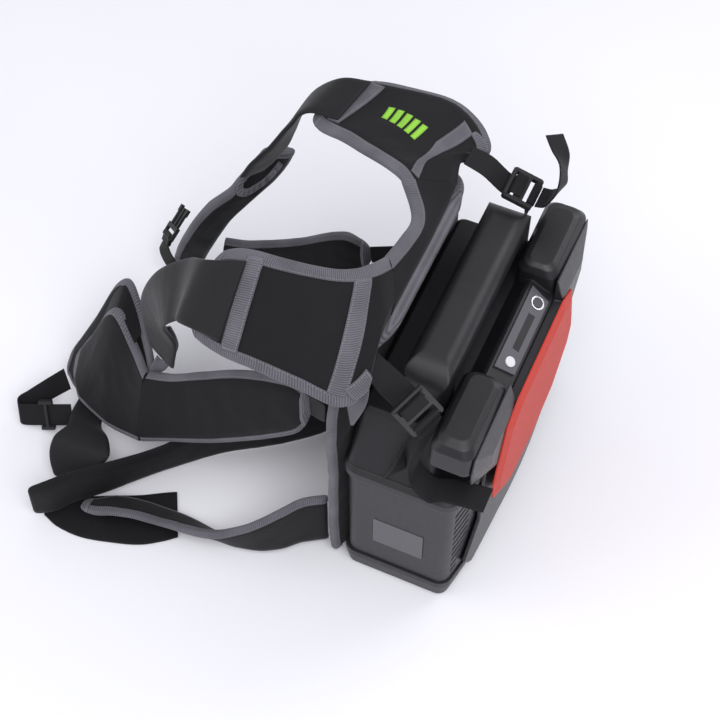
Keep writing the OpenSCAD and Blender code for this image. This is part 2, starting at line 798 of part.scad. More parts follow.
far_chest_path = [
    [[-102, -192, 268], [-125, -172, 252], 8], [[-98, -206, 244], [-124, -180, 229], 10],
    [[-92, -221, 217], [-118, -195, 202], 14], [[-87, -229, 201], [-112, -208, 186], 17],
    [[-81, -250, 176], [-104, -235, 146], 18], [[-77, -269, 143], [-100, -248, 120], 18],
    [[-78, -293, 88], [-99, -268, 73], 17], [[-80, -303, 56], [-98, -277, 50], 13]
];

module far_chest_pad() {
    color([0.10, 0.10, 0.11]) strip(far_chest_path, 16, 0.1);
}

pad_face_y = pad_y - back_pad_t / 2;

module near_wing_strap() {
    color([0.07, 0.07, 0.08]) strip([
        [[112, -46.5, 226.6], [118, -42.5, 202.6]], [[123, -33, 242], [128, -29, 218]],
        [[133, pad_face_y - 1.2, 255], [135, pad_face_y - 1.2, 230], web_t, [1, 0.25, 0.3]]
    ], web_t);
}

module far_wing_strap() {
    color([0.07, 0.07, 0.08]) strip([
        [[-104, -81.7, 168], [-104, -79.8, 143]], [[-114, -50, 175], [-115, -49, 150]],
        [[-128, pad_face_y - 1.2, 179], [-129, pad_face_y - 1.2, 154], web_t, [-1, 0.25, 0.1]]
    ], web_t);
}

// ---------- ladder-locks ----------
// Each lock turns on its anchor bar; x runs along the bar, y towards the bar from the free end.

// where the x axis of a turned piece points
function bar_dir(r) = [cos(r[1]) * cos(r[2]), cos(r[1]) * sin(r[2]), -sin(r[1])];

// where the y axis of a turned piece points
function arm_dir(r) = [
    cos(r[2]) * sin(r[1]) * sin(r[0]) - sin(r[2]) * cos(r[0]),
    sin(r[2]) * sin(r[1]) * sin(r[0]) + cos(r[2]) * cos(r[0]),
    cos(r[1]) * sin(r[0])
];

near_lock_at = [128, 73, 284];
near_lock_turn = [-25, 22, -28];
near_bar = bar_dir(near_lock_turn);
near_arm = arm_dir(near_lock_turn);
far_end = handle_x - handle_l / 2;
far_lock_at = [far_end - 6, 75, 313];
far_lock_turn = [-14, 0, 0];
far_bar = bar_dir(far_lock_turn);
far_arm = arm_dir(far_lock_turn);
rail_w = 4;
loop_r = bar_r + loop_gap + web_t;
// from the lock's free end to the webbing that comes up to it
free_gap = 0.9;

module ladder_lock() {
    hw = lock_w / 2;
    difference() {
        translate([0, 0, -2.5]) linear_extrude(5) rounded(-hw, hw, -lock_l, 3, 3);
        translate([-hw + rail_w, -bar_r - loop_r - 1.6, -5]) cube([lock_w - 2 * rail_w, loop_r + bar_r + 8, 10]);
        translate([-hw + rail_w, -lock_l + 4, -5]) cube([lock_w - 2 * rail_w, 5.5, 10]);
    }
    translate([-hw + 1, 0, 0]) rotate([0, 90, 0]) cylinder(r = bar_r, h = lock_w - 2);
    translate([-hw + 2, -lock_l + 2, 1.5]) rotate([0, 90, 0]) cylinder(r = 2.4, h = lock_w - 4);
}

// webbing that passes over the middle bar of a lock
module lock_web() {
    mid_y = -lock_l + 9.5;
    translate([-web_w / 2, mid_y - 4.6, 0]) {
        translate([0, 0, -1.5]) cube([web_w, web_t, 5.2]);
        translate([0, 0, 2.8]) cube([web_w, 14.5 + mid_y + lock_l - 9.5 - 3, web_t]);
    }
}

module near_ladder_lock() {
    color([0.04, 0.04, 0.04]) translate(near_lock_at) rotate(near_lock_turn) ladder_lock();
}

module far_ladder_lock() {
    color([0.04, 0.04, 0.04]) translate(far_lock_at) rotate(far_lock_turn) ladder_lock();
}

module near_lock_web() {
    color([0.07, 0.07, 0.08]) translate(near_lock_at) rotate(near_lock_turn) lock_web();
}

module far_lock_web() {
    color([0.07, 0.07, 0.08]) translate(far_lock_at) rotate(far_lock_turn) lock_web();
}

// loop of the anchor strap round its bar
module anchor_loop() {
    rotate([0, 90, 0]) difference() {
        translate([0, 0, -web_w / 2]) cylinder(r = loop_r, h = web_w);
        translate([0, 0, -web_w]) cylinder(r = bar_r + loop_gap, h = 2 * web_w);
    }
}

module near_anchor_strap() {
    color([0.07, 0.07, 0.08]) {
        translate(near_lock_at) rotate(near_lock_turn) anchor_loop();
        strip([
            web(near_lock_at + [-1.6, -0.6, -2.7], near_bar), web(near_lock_at + [-3, -3, -12], near_bar),
            web([130, 60, 254], [0.86, -0.35, -0.36]), web([half_w - 10, 53, 230], [0.8, -0.2, -0.5]),
            web([half_w - 5, 51, ledge_z + 9], [0.5, -0.7, -0.5])
        ], web_t);
    }
}

module far_anchor_strap() {
    color([0.07, 0.07, 0.08]) {
        translate(far_lock_at) rotate(far_lock_turn) anchor_loop();
        strip([
            web(far_lock_at + [0, -1, -3.1], far_bar), web([far_end - 9, 71, 292], [1, 0, 0.15]),
            web([far_end - 19, 66, 262], [0.8, 0.1, 0.5]), web([8 - half_w, 60, 232], [0.7, 0.4, 0.4]),
            web([5 - half_w, 56, ledge_z + 9], [0.5, 0.7, 0.5])
        ], web_t);
    }
}

module near_load_strap() {
    color([0.07, 0.07, 0.08]) strip([
        concat(web([116, 16.8, 318.7], [0.95, 0.1, -0.28]), [web_t, [0.3, 0.7, -0.6]]),
        web([118, 32, 307], [0.9, -0.2, -0.34]),
        concat(web(near_lock_at - (lock_l + free_gap) * near_arm, near_bar), [web_t, near_arm])
    ], web_t);
}

module far_load_strap() {
    color([0.07, 0.07, 0.08]) strip([
        web([-118, 9, 337], [1, 0, 0.1]), web([-118, 28, 331], [1, 0, 0]),
        concat(web(far_lock_at - (lock_l + free_gap) * far_arm, far_bar), [web_t, far_arm])
    ], web_t);
}

module near_strap_tail() {
    color([0.07, 0.07, 0.08]) strip([
        web(near_lock_at + 4.8 * near_arm, near_bar), web([134, 74, 268], near_bar),
        web([half_w - 9, 70, 244], [0.8, -0.3, -0.5]), web([half_w - 5, 71, 222], [0.8, 0, -0.5]),
        web([half_w - 3, 88, ledge_z + 10], [0.95, 0.1, -0.25]),
        web([half_w - 11, 100, ledge_z + 4.5], [1, 0, -0.12]),
        web([half_w - 17, 137, ledge_z + 3], [1, 0, -0.12])
    ], web_t);
}

module far_strap_tail() {
    color([0.07, 0.07, 0.08]) strip([
        web(far_lock_at + 4.8 * far_arm, far_bar),
        web(far_lock_at + [-1, 14, 1], [1, 0, 0.1]), web(far_lock_at + [-5, 23, 17], [0.85, -0.1, 0.5]),
        web(far_lock_at + [-18, 19, 27], [0.6, -0.16, 0.78]),
        web(far_lock_at + [-30, 11, 33], [0.6, -0.54, 0.59]),
        web(far_lock_at + [-42, 0, 39], [0.75, -0.45, 0.48])
    ], web_t);
}

// ---------- waist belt ----------

belt_root = [0.5, -0.86, 0];

near_belt_path = [
    [[133, pad_face_y - 2.6, 88], [134, pad_face_y - 2.6, 3], belt_t, belt_root],
    [[147, -43, 87], [147, -43, 3]], [[164, -59, 82], [162, -59, 3]], [[175, -76, 68], [171, -74, 3]],
    [[184, -96, 52], [177, -94, 3]], [[192, -120, 37], [178, -120, 3]], [[198, -146, 31], [174, -148, 3.8]],
    [[202, -172, 32], [173, -174, 3.8]], [[206, -200, 33], [175, -208, 4.8]],
    [[212, -226, 32], [181, -236, 4.8]], [[217, -244, 30], [192, -252, 6]],
    [[216, -258, 27], [200, -262, 11], 6]
];

module near_belt() {
    color([0.09, 0.09, 0.10]) strip(near_belt_path, belt_t, 0.1);
}

far_belt_path = [
    [[-126, pad_face_y - 3, 78], [-128, pad_face_y - 3, 2.4], belt_t, [0.6, -0.8, 0]],
    [[-92, -44, 78], [-92, -45, 2.4]], [[-30, -56, 77], [-30, -58, 2.4]], [[17, -73, 74], [17, -74, 2.4]],
    [[57, -118, 72], [57, -118, 2.4]], [[90, -164, 68], [90, -166, 2.4]], [[131, -208, 50], [131, -209, 2.4]],
    [[178, -252, 56], [178, -252, 2.4]], [[202, -276, 60], [202, -277, 2.4]],
    [[220, -292, 60], [220, -291, 2.4]], [[230, -306, 54], [231, -307, 2.4], 6]
];

module far_belt() {
    color([0.09, 0.09, 0.10]) strip(far_belt_path, belt_t, 0.1);
}

module belt_tail() {
    color([0.07, 0.07, 0.08]) strip([
        [[214, -308, 1.2], [228, -297, 1.2]], [[206, -291, 1.2], [234, -279, 1.2]],
        [[195, -274, 1.2], [235, -252, 1.2]], [[181, -247, 1.2], [228, -221, 1.2]],
        [[168, -219, 1.2], [218, -192, 1.2]], [[155, -197, 1.2], [204, -171, 1.2]],
        [[149, -186, 1.2], [195, -161, 1.2]]
    ], web_t);
}

// broad flap that hangs from the chest pad down to the belt
module belt_link() {
    color([0.07, 0.07, 0.08]) strip([
        [[98, -326, 20.6], [106, -292, 21.8]], [[120, -322, 27], [125, -284, 27]],
        [[141, -314, 36], [140, -266, 39]], [[157, -320, 35], [158, -254, 43]],
        [[169, -320, 28], [169, -258, 35]], [[178, -316, 19], [176, -264, 21]],
        [[186, -309, 6], [181, -277, 7]]
    ], 4);
}

// ---------- adjuster loop, slider and buckle ----------

slide_turn = [170, -58.5, -151];
slide_up = bar_dir(slide_turn);
slide_dir = arm_dir(slide_turn);
slide_from = [139, -367, 18];
slide_at = slide_from + 22 * slide_dir;

module loop_strap() {
    color([0.07, 0.07, 0.08]) strip([
        web([92.6, -341, 38], [-0.35, -0.4, 0.85]), web([108, -353, 34], [-0.4, -0.3, 0.85]),
        web([127, -371, 23], [-0.45, -0.25, 0.85]), web([135, -377, 20], slide_up),
        web([140.5, -374, 18.5], slide_up), web(slide_from, slide_up),
        web(slide_from + 49 * slide_dir, slide_up)
    ], web_t);
}

// slider: two outer bars on one side of the webbing, a middle bar on the other
module tri_glide() {
    color([0.04, 0.04, 0.04]) translate(slide_at) rotate(slide_turn) {
        for (s = [-1, 1]) translate([s > 0 ? web_w / 2 + 0.6 : -web_w / 2 - 4.1, -7, -3]) cube([3.5, 14, 6]);
        for (y = [-7, 4]) translate([-web_w / 2 - 2, y, web_t / 2 + 0.3]) cube([web_w + 4, 3, 1.8]);
        translate([-web_w / 2 - 2, -1.5, -web_t / 2 - 2.1]) cube([web_w + 4, 3, 1.8]);
    }
}

plug_at = [-105, -323, 59];
plug_turn = [41, -31, 49];
plug_bar_r = 1.6;

module buckle_strap() {
    color([0.07, 0.07, 0.08]) {
        strip([
            concat(web([-89, -290.2, 52.6], [-0.56, 0.81, -0.16]), [web_t, [0, -0.33, -0.94]]),
            web([-86, -303, 40], [-0.2, 0.75, 0.4]),
            web([-88, -315, 38], [0.1, 0.6, 0.75]), web([-95, -325, 49], [0.2, 0.6, 0.77]),
            web(plug_at - 3 * arm_dir(plug_turn), bar_dir(plug_turn))
        ], web_t);
        translate(plug_at) rotate(plug_turn) rotate([0, 90, 0]) difference() {
            translate([0, 0, -web_w / 2]) cylinder(r = plug_bar_r + loop_gap + web_t, h = web_w);
            translate([0, 0, -web_w]) cylinder(r = plug_bar_r + loop_gap, h = 2 * web_w);
        }
    }
}

// plug of a side-release buckle, turning on its webbing bar
module buckle_plug() {
    color([0.04, 0.04, 0.04]) translate(plug_at) rotate(plug_turn) {
        for (s = [-1, 1]) translate([s > 0 ? web_w / 2 + 0.5 : -web_w / 2 - 3, -2.5, -2]) cube([2.5, 12, 4]);
        translate([-web_w / 2 - 1, 0, 0]) rotate([0, 90, 0]) cylinder(r = plug_bar_r, h = web_w + 2);
        translate([-web_w / 2 - 3, 8, -2]) cube([web_w + 6, 5, 4]);
        translate([-1.5, 12.9, -1.5]) cube([3, 22, 3]);
        for (s = [-1, 1]) {
            translate([s * 10 - 1.5, 12.9, -1.5]) cube([3, 20, 3]);
            translate([s * 11 - 2.5, 28, -1.8]) cube([5, 8, 3.6]);
        }
    }
}

bottom_tray();
rubber_feet();
tray_screws();
lower_housing();
upper_housing();
outer_cover();
orange_panel();
carry_handle();
handle_screws();
control_plate();
power_button();
power_button_ring();
mode_button();
lamp_window();
control_board();
label_plate();
output_socket();
battery_cells();
cell_frame_inner();
cell_frame_outer();
bus_bars();
management_board();
heat_sink();
fan_frame();
fan_rotor();
back_pad();
yoke();
near_shoulder_pad();
far_shoulder_pad();
near_band();
far_band();
near_chest_pad();
far_chest_pad();
near_wing_pad();
far_wing_pad();
near_wing_strap();
far_wing_strap();
near_load_strap();
far_load_strap();
near_anchor_strap();
far_anchor_strap();
near_ladder_lock();
far_ladder_lock();
near_lock_web();
far_lock_web();
near_strap_tail();
far_strap_tail();
near_belt();
far_belt();
belt_tail();
belt_link();
loop_strap();
tri_glide();
buckle_strap();
buckle_plug();
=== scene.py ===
"""Looks of a backpack battery unit on its padded harness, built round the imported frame.

The hard pieces come from the frame and get their materials here. Every padded piece and every
webbing is modelled from the same stations as its solid, with bound edges, seams and creases.
"""

import json
import logging
import math
from collections.abc import Callable
from dataclasses import dataclass, field, replace
from enum import Enum

import bmesh
import bpy
from mathutils import Euler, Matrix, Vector, noise


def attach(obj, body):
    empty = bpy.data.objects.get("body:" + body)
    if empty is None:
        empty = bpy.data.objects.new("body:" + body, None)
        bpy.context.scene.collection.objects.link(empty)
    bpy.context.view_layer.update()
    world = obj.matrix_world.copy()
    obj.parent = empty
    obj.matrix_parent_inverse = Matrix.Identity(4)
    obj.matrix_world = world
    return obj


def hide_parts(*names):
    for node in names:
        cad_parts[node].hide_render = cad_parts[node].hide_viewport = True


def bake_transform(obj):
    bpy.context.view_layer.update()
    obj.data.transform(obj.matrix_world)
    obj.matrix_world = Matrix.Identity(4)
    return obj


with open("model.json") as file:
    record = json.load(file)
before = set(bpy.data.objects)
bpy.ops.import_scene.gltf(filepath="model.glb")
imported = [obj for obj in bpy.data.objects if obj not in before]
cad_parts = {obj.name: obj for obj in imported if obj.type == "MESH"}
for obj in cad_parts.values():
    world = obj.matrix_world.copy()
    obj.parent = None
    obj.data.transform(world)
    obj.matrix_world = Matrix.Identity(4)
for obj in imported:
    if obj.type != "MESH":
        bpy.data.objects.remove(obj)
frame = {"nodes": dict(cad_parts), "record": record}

LOG = logging.getLogger("scene")
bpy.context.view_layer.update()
MM = 0.001
ROOT = "unit"

Point = tuple[float, float, float]
Line = tuple[float, float, float, float]
Cell = tuple[int, int]
Spot = Callable[[int, int], tuple[float, float]]

# Seams in metres: from the sewn edge to the thread, half the thread and one stitch with its gap
STITCH_INSET, THREAD_RADIUS, STITCH_PITCH = 0.0016, 0.0004, 0.0030
STITCH_CUT = 0.35  # height on the wave of stitches over which the thread shows
UNSEWN = 1.0  # distance to a seam where there is none, in metres


# ---------- finishes ----------


class Cloth(Enum):
    """Kinds of cloth on the harness."""

    PAD = "pad_cloth"
    BAND = "band_cloth"
    WEBBING = "webbing_cloth"
    BINDING = "binding_tape"
    PRINT = "green_print"


@dataclass(frozen=True)
class ClothFinish:
    """How a cloth looks.

    Attributes:
        dark: Colour in the hollows of the weave.
        light: Colour on top of the yarns.
        pitch: Distance from rib to rib along the piece, in metres.
        cross: Distance from rib to rib across the piece, in metres.
        depth: Height of the weave, in metres.
        rough: Roughness.
        sheen: Weight of the fibres' sheen.
    """

    dark: Point
    light: Point
    pitch: float
    cross: float
    depth: float
    rough: float
    sheen: float


@dataclass(frozen=True)
class HardFinish:
    """How a hard surface looks.

    Attributes:
        base: Colour of the surface.
        edge_highlight_and_haze: Lighter colour painted along its edges as a highlight, and also shown in
            faint haze.
        rough: Roughness of the plain surface.
        grain: Size of the moulded grain, in metres.
        relief: Height of the grain, in metres.
        edge: Radius of the rounding seen along the edges, in metres.
        metal: How metallic it is, from 0 to 1.
        coat: Weight of a clear coat.
    """

    base: Point
    # Lighter colour painted along the edges as a highlight, also used for faint haze
    edge_highlight_and_haze: Point
    rough: float
    grain: float = 0.0009
    relief: float = 0.00004
    edge: float = 0.0012
    metal: float = 0.0
    coat: float = 0.0


@dataclass(frozen=True)
class Speckle:
    """Noise that is stretched to the whole range from 0 to 1.

    Attributes:
        scale: Features per metre.
        detail: Number of finer layers.
        low: Noise value that gives 0.
        high: Noise value that gives 1.
    """

    scale: float
    detail: float
    low: float
    high: float


MOTTLE = Speckle(38.0, 5.0, 0.32, 0.70)
FUZZ = Speckle(2600.0, 2.0, 0.25, 0.75)
# Speckle that makes the painted highlight along hard edges stronger in places
EDGE_HIGHLIGHT_SPECKLE = Speckle(55.0, 6.0, 0.50, 0.78)
HAZE = Speckle(16.0, 4.0, 0.40, 0.75)
FLOOR_MARKS = Speckle(2.0, 2.0, 0.3, 0.7)
CRUMPLE_NOISE, GLOSS_NOISE, GRAIN_DETAIL = (120.0, 4.0), (210.0, 3.0), 2.0

WEAVE_SHARE, FUZZ_SHARE, MOTTLE_SHARE = 0.55, 0.25, 0.30
THREAD_GAIN, THREAD_OFFSET, THREAD_HEIGHT = 1.15, 0.002, 3.0
CLOTH_GLOSS_SPREAD, CLOTH_SPECULAR, SHEEN_ROUGH = 0.10, 0.22, 0.45
WEAVE_STRENGTH, CRUMPLE_DEPTH, CRUMPLE_STRENGTH = 0.9, 0.0008, 0.35

EDGE_SEEN = (0.995, 0.80)  # product of the plain and the rounded normal where an edge starts and is full
EDGE_SAMPLES = 6
# Painted highlight along hard edges: its least share, the extra share where the speckle is high, and the
# share of haze
EDGE_HIGHLIGHT_LEAST, EDGE_HIGHLIGHT_EXTRA, HAZE_SHARE = 0.35, 0.5, 0.16
HARD_GLOSS_SPREAD, COAT_ROUGH, GRAIN_STRENGTH = 0.14, 0.08, 0.8

CLOTHS: dict[Cloth, ClothFinish] = {
    Cloth.PAD: ClothFinish(
        (0.003, 0.003, 0.004), (0.010, 0.010, 0.012), 0.0011, 0.0011, 0.00006, 0.80, 0.06
    ),
    Cloth.BAND: ClothFinish(
        (0.004, 0.004, 0.005), (0.013, 0.013, 0.015), 0.0008, 0.0008, 0.00003, 0.60, 0.08
    ),
    Cloth.WEBBING: ClothFinish(
        (0.003, 0.003, 0.0035), (0.012, 0.0115, 0.014), 0.0016, 0.0030, 0.00010, 0.66, 0.05
    ),
    Cloth.BINDING: ClothFinish(
        (0.040, 0.039, 0.046), (0.165, 0.161, 0.184), 0.0020, 0.0200, 0.00022, 0.80, 0.12
    ),
    Cloth.PRINT: ClothFinish(
        (0.180, 0.400, 0.030), (0.270, 0.590, 0.055), 0.0009, 0.0009, 0.00003, 0.60, 0.05
    ),
}

# The second colour of each hard finish is painted along its edges as a highlight and also shows in faint haze
HARD: dict[str, HardFinish] = {
    "housing_plastic": HardFinish((0.008, 0.008, 0.010), (0.034, 0.033, 0.040), 0.42, edge=0.0022),
    "tray_plastic": HardFinish((0.007, 0.007, 0.009), (0.028, 0.027, 0.032), 0.46),
    "cover_plastic": HardFinish((0.010, 0.010, 0.013), (0.042, 0.041, 0.049), 0.38, edge=0.002),
    "panel_orange": HardFinish((0.520, 0.028, 0.012), (0.580, 0.050, 0.024), 0.62, 0.004, 0.00001, 0.0006),
    "handle_plastic": HardFinish(
        (0.009, 0.009, 0.011), (0.045, 0.044, 0.051), 0.44, 0.0012, 0.00003, 0.003
    ),
    "plate_grey": HardFinish((0.083, 0.081, 0.094), (0.144, 0.143, 0.158), 0.50, 0.0006, 0.00005, 0.0005),
    "button_dark": HardFinish((0.045, 0.045, 0.050), (0.110, 0.110, 0.120), 0.38, edge=0.0006),
    "button_light": HardFinish((0.650, 0.650, 0.670), (0.800, 0.800, 0.820), 0.35, edge=0.0006),
    "lamp_window": HardFinish(
        (0.010, 0.010, 0.012), (0.030, 0.030, 0.034), 0.10, 0.006, 0.0, 0.0003, coat=0.8
    ),
    "socket_plastic": HardFinish((0.018, 0.018, 0.020), (0.060, 0.060, 0.066), 0.42),
    "foot_rubber": HardFinish((0.012, 0.012, 0.012), (0.040, 0.040, 0.040), 0.85, 0.0007, 0.00008),
    "label_silver": HardFinish(
        (0.085, 0.084, 0.092), (0.112, 0.112, 0.119), 0.42, 0.0005, 0.00001, 0.0003
    ),
    "board_green": HardFinish(
        (0.010, 0.090, 0.030), (0.060, 0.180, 0.080), 0.35, 0.002, 0.00002, 0.0002, coat=0.3
    ),
    "cell_sleeve": HardFinish((0.030, 0.110, 0.200), (0.100, 0.200, 0.300), 0.25, 0.003, 0.0, 0.001),
    "cell_frame_plastic": HardFinish((0.420, 0.390, 0.290), (0.550, 0.520, 0.420), 0.55),
    "fan_plastic": HardFinish((0.014, 0.014, 0.015), (0.050, 0.050, 0.055), 0.45),
    "buckle_plastic": HardFinish(
        (0.009, 0.009, 0.011), (0.024, 0.023, 0.028), 0.60, 0.0007, 0.00003, 0.0005
    ),
    "ring_metal": HardFinish(
        (0.780, 0.780, 0.800), (0.900, 0.900, 0.920), 0.18, 0.002, 0.0, 0.0005, metal=1.0
    ),
    "steel_screw": HardFinish(
        (0.520, 0.520, 0.540), (0.700, 0.700, 0.720), 0.32, 0.0004, 0.00001, 0.0004, metal=1.0
    ),
    "nickel": HardFinish(
        (0.600, 0.590, 0.550), (0.700, 0.690, 0.650), 0.30, 0.001, 0.0, 0.0002, metal=1.0
    ),
    "sink_metal": HardFinish(
        (0.500, 0.510, 0.530), (0.650, 0.660, 0.680), 0.38, 0.0005, 0.00001, 0.0003, metal=1.0
    ),
}


class Shader:
    """Builds one procedural material, node by node."""

    def __init__(self, name: str) -> None:
        """Starts a material with a single surface shader.

        Args:
            name: Name of the material.
        """
        self.material = bpy.data.materials.new(name)
        self.material.use_nodes = True
        self.tree = self.material.node_tree
        self.surface = self.tree.nodes["Principled BSDF"]

    def add(self, kind: str, **inputs: object) -> bpy.types.Node:
        """Adds a node and sets or links its inputs.

        Args:
            kind: Type name of the node.
            **inputs: Socket names with spaces as underscores, each a value or an output socket.

        Returns:
            The new node.
        """
        node = self.tree.nodes.new(kind)
        self.fill(node, inputs)
        return node

    def dress(self, **inputs: object) -> None:
        """Sets or links inputs of the surface shader, given as for add."""
        self.fill(self.surface, inputs)

    def fill(self, node: bpy.types.Node, inputs: dict[str, object]) -> None:
        """Sets or links inputs of a node.

        Args:
            node: The node.
            inputs: Socket names with spaces as underscores, each with a value or an output socket.
        """
        for name, value in inputs.items():
            self.feed(node.inputs[name.replace("_", " ")], value)

    def feed(self, socket: bpy.types.NodeSocket, value: object) -> None:
        """Links an output to a socket, or sets the socket's own value.

        Args:
            socket: The input to feed.
            value: An output socket or a plain value.
        """
        if isinstance(value, bpy.types.NodeSocket):
            self.tree.links.new(value, socket)
        elif isinstance(value, tuple) and socket.type == "RGBA":
            socket.default_value = (*value, 1.0)
        else:
            socket.default_value = value

    def math(self, operation: str, a: object, b: object = 0.0, c: object = 0.0) -> bpy.types.NodeSocket:
        """Adds a scalar operation.

        Args:
            operation: Name of the operation.
            a: First operand.
            b: Second operand.
            c: Third operand.

        Returns:
            The result's output socket.
        """
        node = self.tree.nodes.new("ShaderNodeMath")
        node.operation = operation
        for socket, value in zip(node.inputs, (a, b, c)):
            self.feed(socket, value)
        return node.outputs[0]

    def mix(self, factor: object, a: object, b: object) -> bpy.types.NodeSocket:
        """Mixes two colours.

        Args:
            factor: Share of the second colour.
            a: First colour.
            b: Second colour.

        Returns:
            The mixed colour's output socket.
        """
        node = self.tree.nodes.new("ShaderNodeMix")
        node.data_type = "RGBA"
        self.feed(node.inputs[0], factor)
        self.feed(node.inputs[6], a)
        self.feed(node.inputs[7], b)
        return node.outputs[2]

    def ramp(self, value: object, low: float, high: float) -> bpy.types.NodeSocket:
        """Stretches a value so that low gives 0 and high gives 1.

        Args:
            value: The value to stretch.
            low: Value that gives 0.
            high: Value that gives 1.

        Returns:
            The clamped result's output socket.
        """
        node = self.add("ShaderNodeMapRange", Value=value, From_Min=low, From_Max=high)
        return node.outputs["Result"]

    def noise(self, scale: float, detail: float = 3.0) -> bpy.types.NodeSocket:
        """Adds noise in the object's own coordinates.

        Args:
            scale: Features per metre.
            detail: Number of finer layers.

        Returns:
            The noise value's output socket.
        """
        place = self.add("ShaderNodeTexCoord").outputs["Object"]
        return self.add("ShaderNodeTexNoise", Vector=place, Scale=scale, Detail=detail).outputs[0]

    def speckle(self, pattern: Speckle) -> bpy.types.NodeSocket:
        """Adds a speckle and gives its output socket."""
        return self.ramp(self.noise(pattern.scale, pattern.detail), pattern.low, pattern.high)

    def wave(self, place: bpy.types.NodeSocket, pitch: float) -> bpy.types.NodeSocket:
        """Adds a sine from 0 to 1.

        Args:
            place: Position along the wave, in metres.
            pitch: Length of one wave, in metres.

        Returns:
            The wave's output socket.
        """
        angle = self.math("MULTIPLY", place, 2 * math.pi / pitch)
        return self.math("MULTIPLY_ADD", self.math("SINE", angle), 0.5, 0.5)


def cloth_material(kind: Cloth) -> bpy.types.Material:
    """Makes the woven material of one kind of cloth.

    Args:
        kind: The kind of cloth.

    Returns:
        The material, with ribs along and across, mottled patches and a line of stitches.
    """
    finish = CLOTHS[kind]
    s = Shader(kind.value)
    place = s.add("ShaderNodeSeparateXYZ", Vector=s.add("ShaderNodeUVMap").outputs[0])
    along, across = place.outputs[0], place.outputs[1]
    ribs = s.wave(along, finish.pitch)
    yarns = s.wave(across, finish.cross)
    weave = s.math("MAXIMUM", ribs, yarns) if kind in (Cloth.PAD, Cloth.BAND) else ribs
    mottle, fuzz = s.speckle(MOTTLE), s.speckle(FUZZ)
    tone = s.math("MULTIPLY_ADD", weave, WEAVE_SHARE, s.math("MULTIPLY", fuzz, FUZZ_SHARE))
    tone = s.math("MULTIPLY_ADD", mottle, MOTTLE_SHARE, tone)
    colour = s.mix(tone, finish.dark, finish.light)
    edge = s.add("ShaderNodeAttribute")
    edge.attribute_name = "stitch"
    aside = s.math("ABSOLUTE", s.math("SUBTRACT", edge.outputs["Fac"], STITCH_INSET))
    row = s.math("LESS_THAN", aside, THREAD_RADIUS)
    dash = s.math("GREATER_THAN", s.wave(along, STITCH_PITCH), STITCH_CUT)
    stitch = s.math("MULTIPLY", row, dash)
    thread = tuple(min(1.0, THREAD_GAIN * c + THREAD_OFFSET) for c in finish.light)
    rough = s.math("MULTIPLY_ADD", mottle, CLOTH_GLOSS_SPREAD, finish.rough - CLOTH_GLOSS_SPREAD / 2)
    height = s.math("ADD", weave, s.math("MULTIPLY", stitch, THREAD_HEIGHT))
    fine = s.add("ShaderNodeBump", Height=height, Distance=finish.depth, Strength=WEAVE_STRENGTH)
    crumple = s.add("ShaderNodeBump", Height=s.noise(*CRUMPLE_NOISE), Distance=CRUMPLE_DEPTH,
                    Strength=CRUMPLE_STRENGTH, Normal=fine.outputs[0])
    s.dress(Base_Color=s.mix(stitch, colour, thread), Roughness=rough, Sheen_Weight=finish.sheen,
            Sheen_Roughness=SHEEN_ROUGH, Specular_IOR_Level=CLOTH_SPECULAR, Normal=crumple.outputs[0])
    return s.material


def hard_material(slot: str) -> bpy.types.Material:
    """Makes the material of one moulded or metal slot.

    Args:
        slot: Name of the record's material slot.

    Returns:
        The material, with moulded grain, rounded edges that catch the light and carry a painted highlight of
        uneven strength, and faint haze.
    """
    finish = HARD[slot]
    s = Shader(slot)
    plain = s.add("ShaderNodeNewGeometry").outputs["Normal"]
    soft = s.add("ShaderNodeBevel", Radius=finish.edge)
    soft.samples = EDGE_SAMPLES
    facing = s.add("ShaderNodeVectorMath", Vector=plain)
    facing.operation = "DOT_PRODUCT"
    s.feed(facing.inputs[1], soft.outputs[0])
    edge = s.ramp(facing.outputs["Value"], *EDGE_SEEN)
    # Painted highlight: every edge takes the lighter colour, more of it where the speckle is high; faint haze
    # is added on top
    edge_highlight = s.math("MULTIPLY", edge, s.math("MULTIPLY_ADD", s.speckle(EDGE_HIGHLIGHT_SPECKLE), EDGE_HIGHLIGHT_EXTRA, EDGE_HIGHLIGHT_LEAST))
    edge_highlight_and_haze = s.math("ADD", edge_highlight, s.math("MULTIPLY", s.speckle(HAZE), HAZE_SHARE))
    smoothest = finish.rough - HARD_GLOSS_SPREAD / 2
    rough = s.math("MULTIPLY_ADD", s.noise(*GLOSS_NOISE), HARD_GLOSS_SPREAD, smoothest)
    bump = s.add("ShaderNodeBump", Height=s.noise(1.0 / finish.grain, GRAIN_DETAIL), Distance=finish.relief,
                 Strength=GRAIN_STRENGTH, Normal=soft.outputs[0])
    s.dress(Base_Color=s.mix(edge_highlight_and_haze, finish.base, finish.edge_highlight_and_haze), Roughness=rough, Metallic=finish.metal,
            Coat_Weight=finish.coat, Coat_Roughness=COAT_ROUGH, Normal=bump.outputs[0])
    return s.material


# ---------- soft strips ----------

# Lengths are in metres unless a comment says millimetres
# Distances of the points next to a long edge and next to an end
EDGE_SPREAD = (0.0, 0.0006, 0.0014, 0.0026, 0.0042, 0.0065, 0.0100)
END_SPREAD = (0.0, 0.0007, 0.0018, 0.0034)
FULL_SPREAD_WIDTH = 0.030  # narrower strips take the edge distances in proportion
COLUMN_STEP, PATCH_STEP, WELD = 0.004, 0.002, 1e-6
FEWEST_RINGS, FEWEST_COLUMNS, FEWEST_CELLS = 6, 3, 2
END_RADIUS, EDGE_LIP, TAPE_SLACK = 0.004, 0.002, 0.0004
THINNEST_END = 0.12  # share of the thickness at the tip of a rounded end
CALM_END = 0.02  # stretch at each end over which folds and bumps fade in
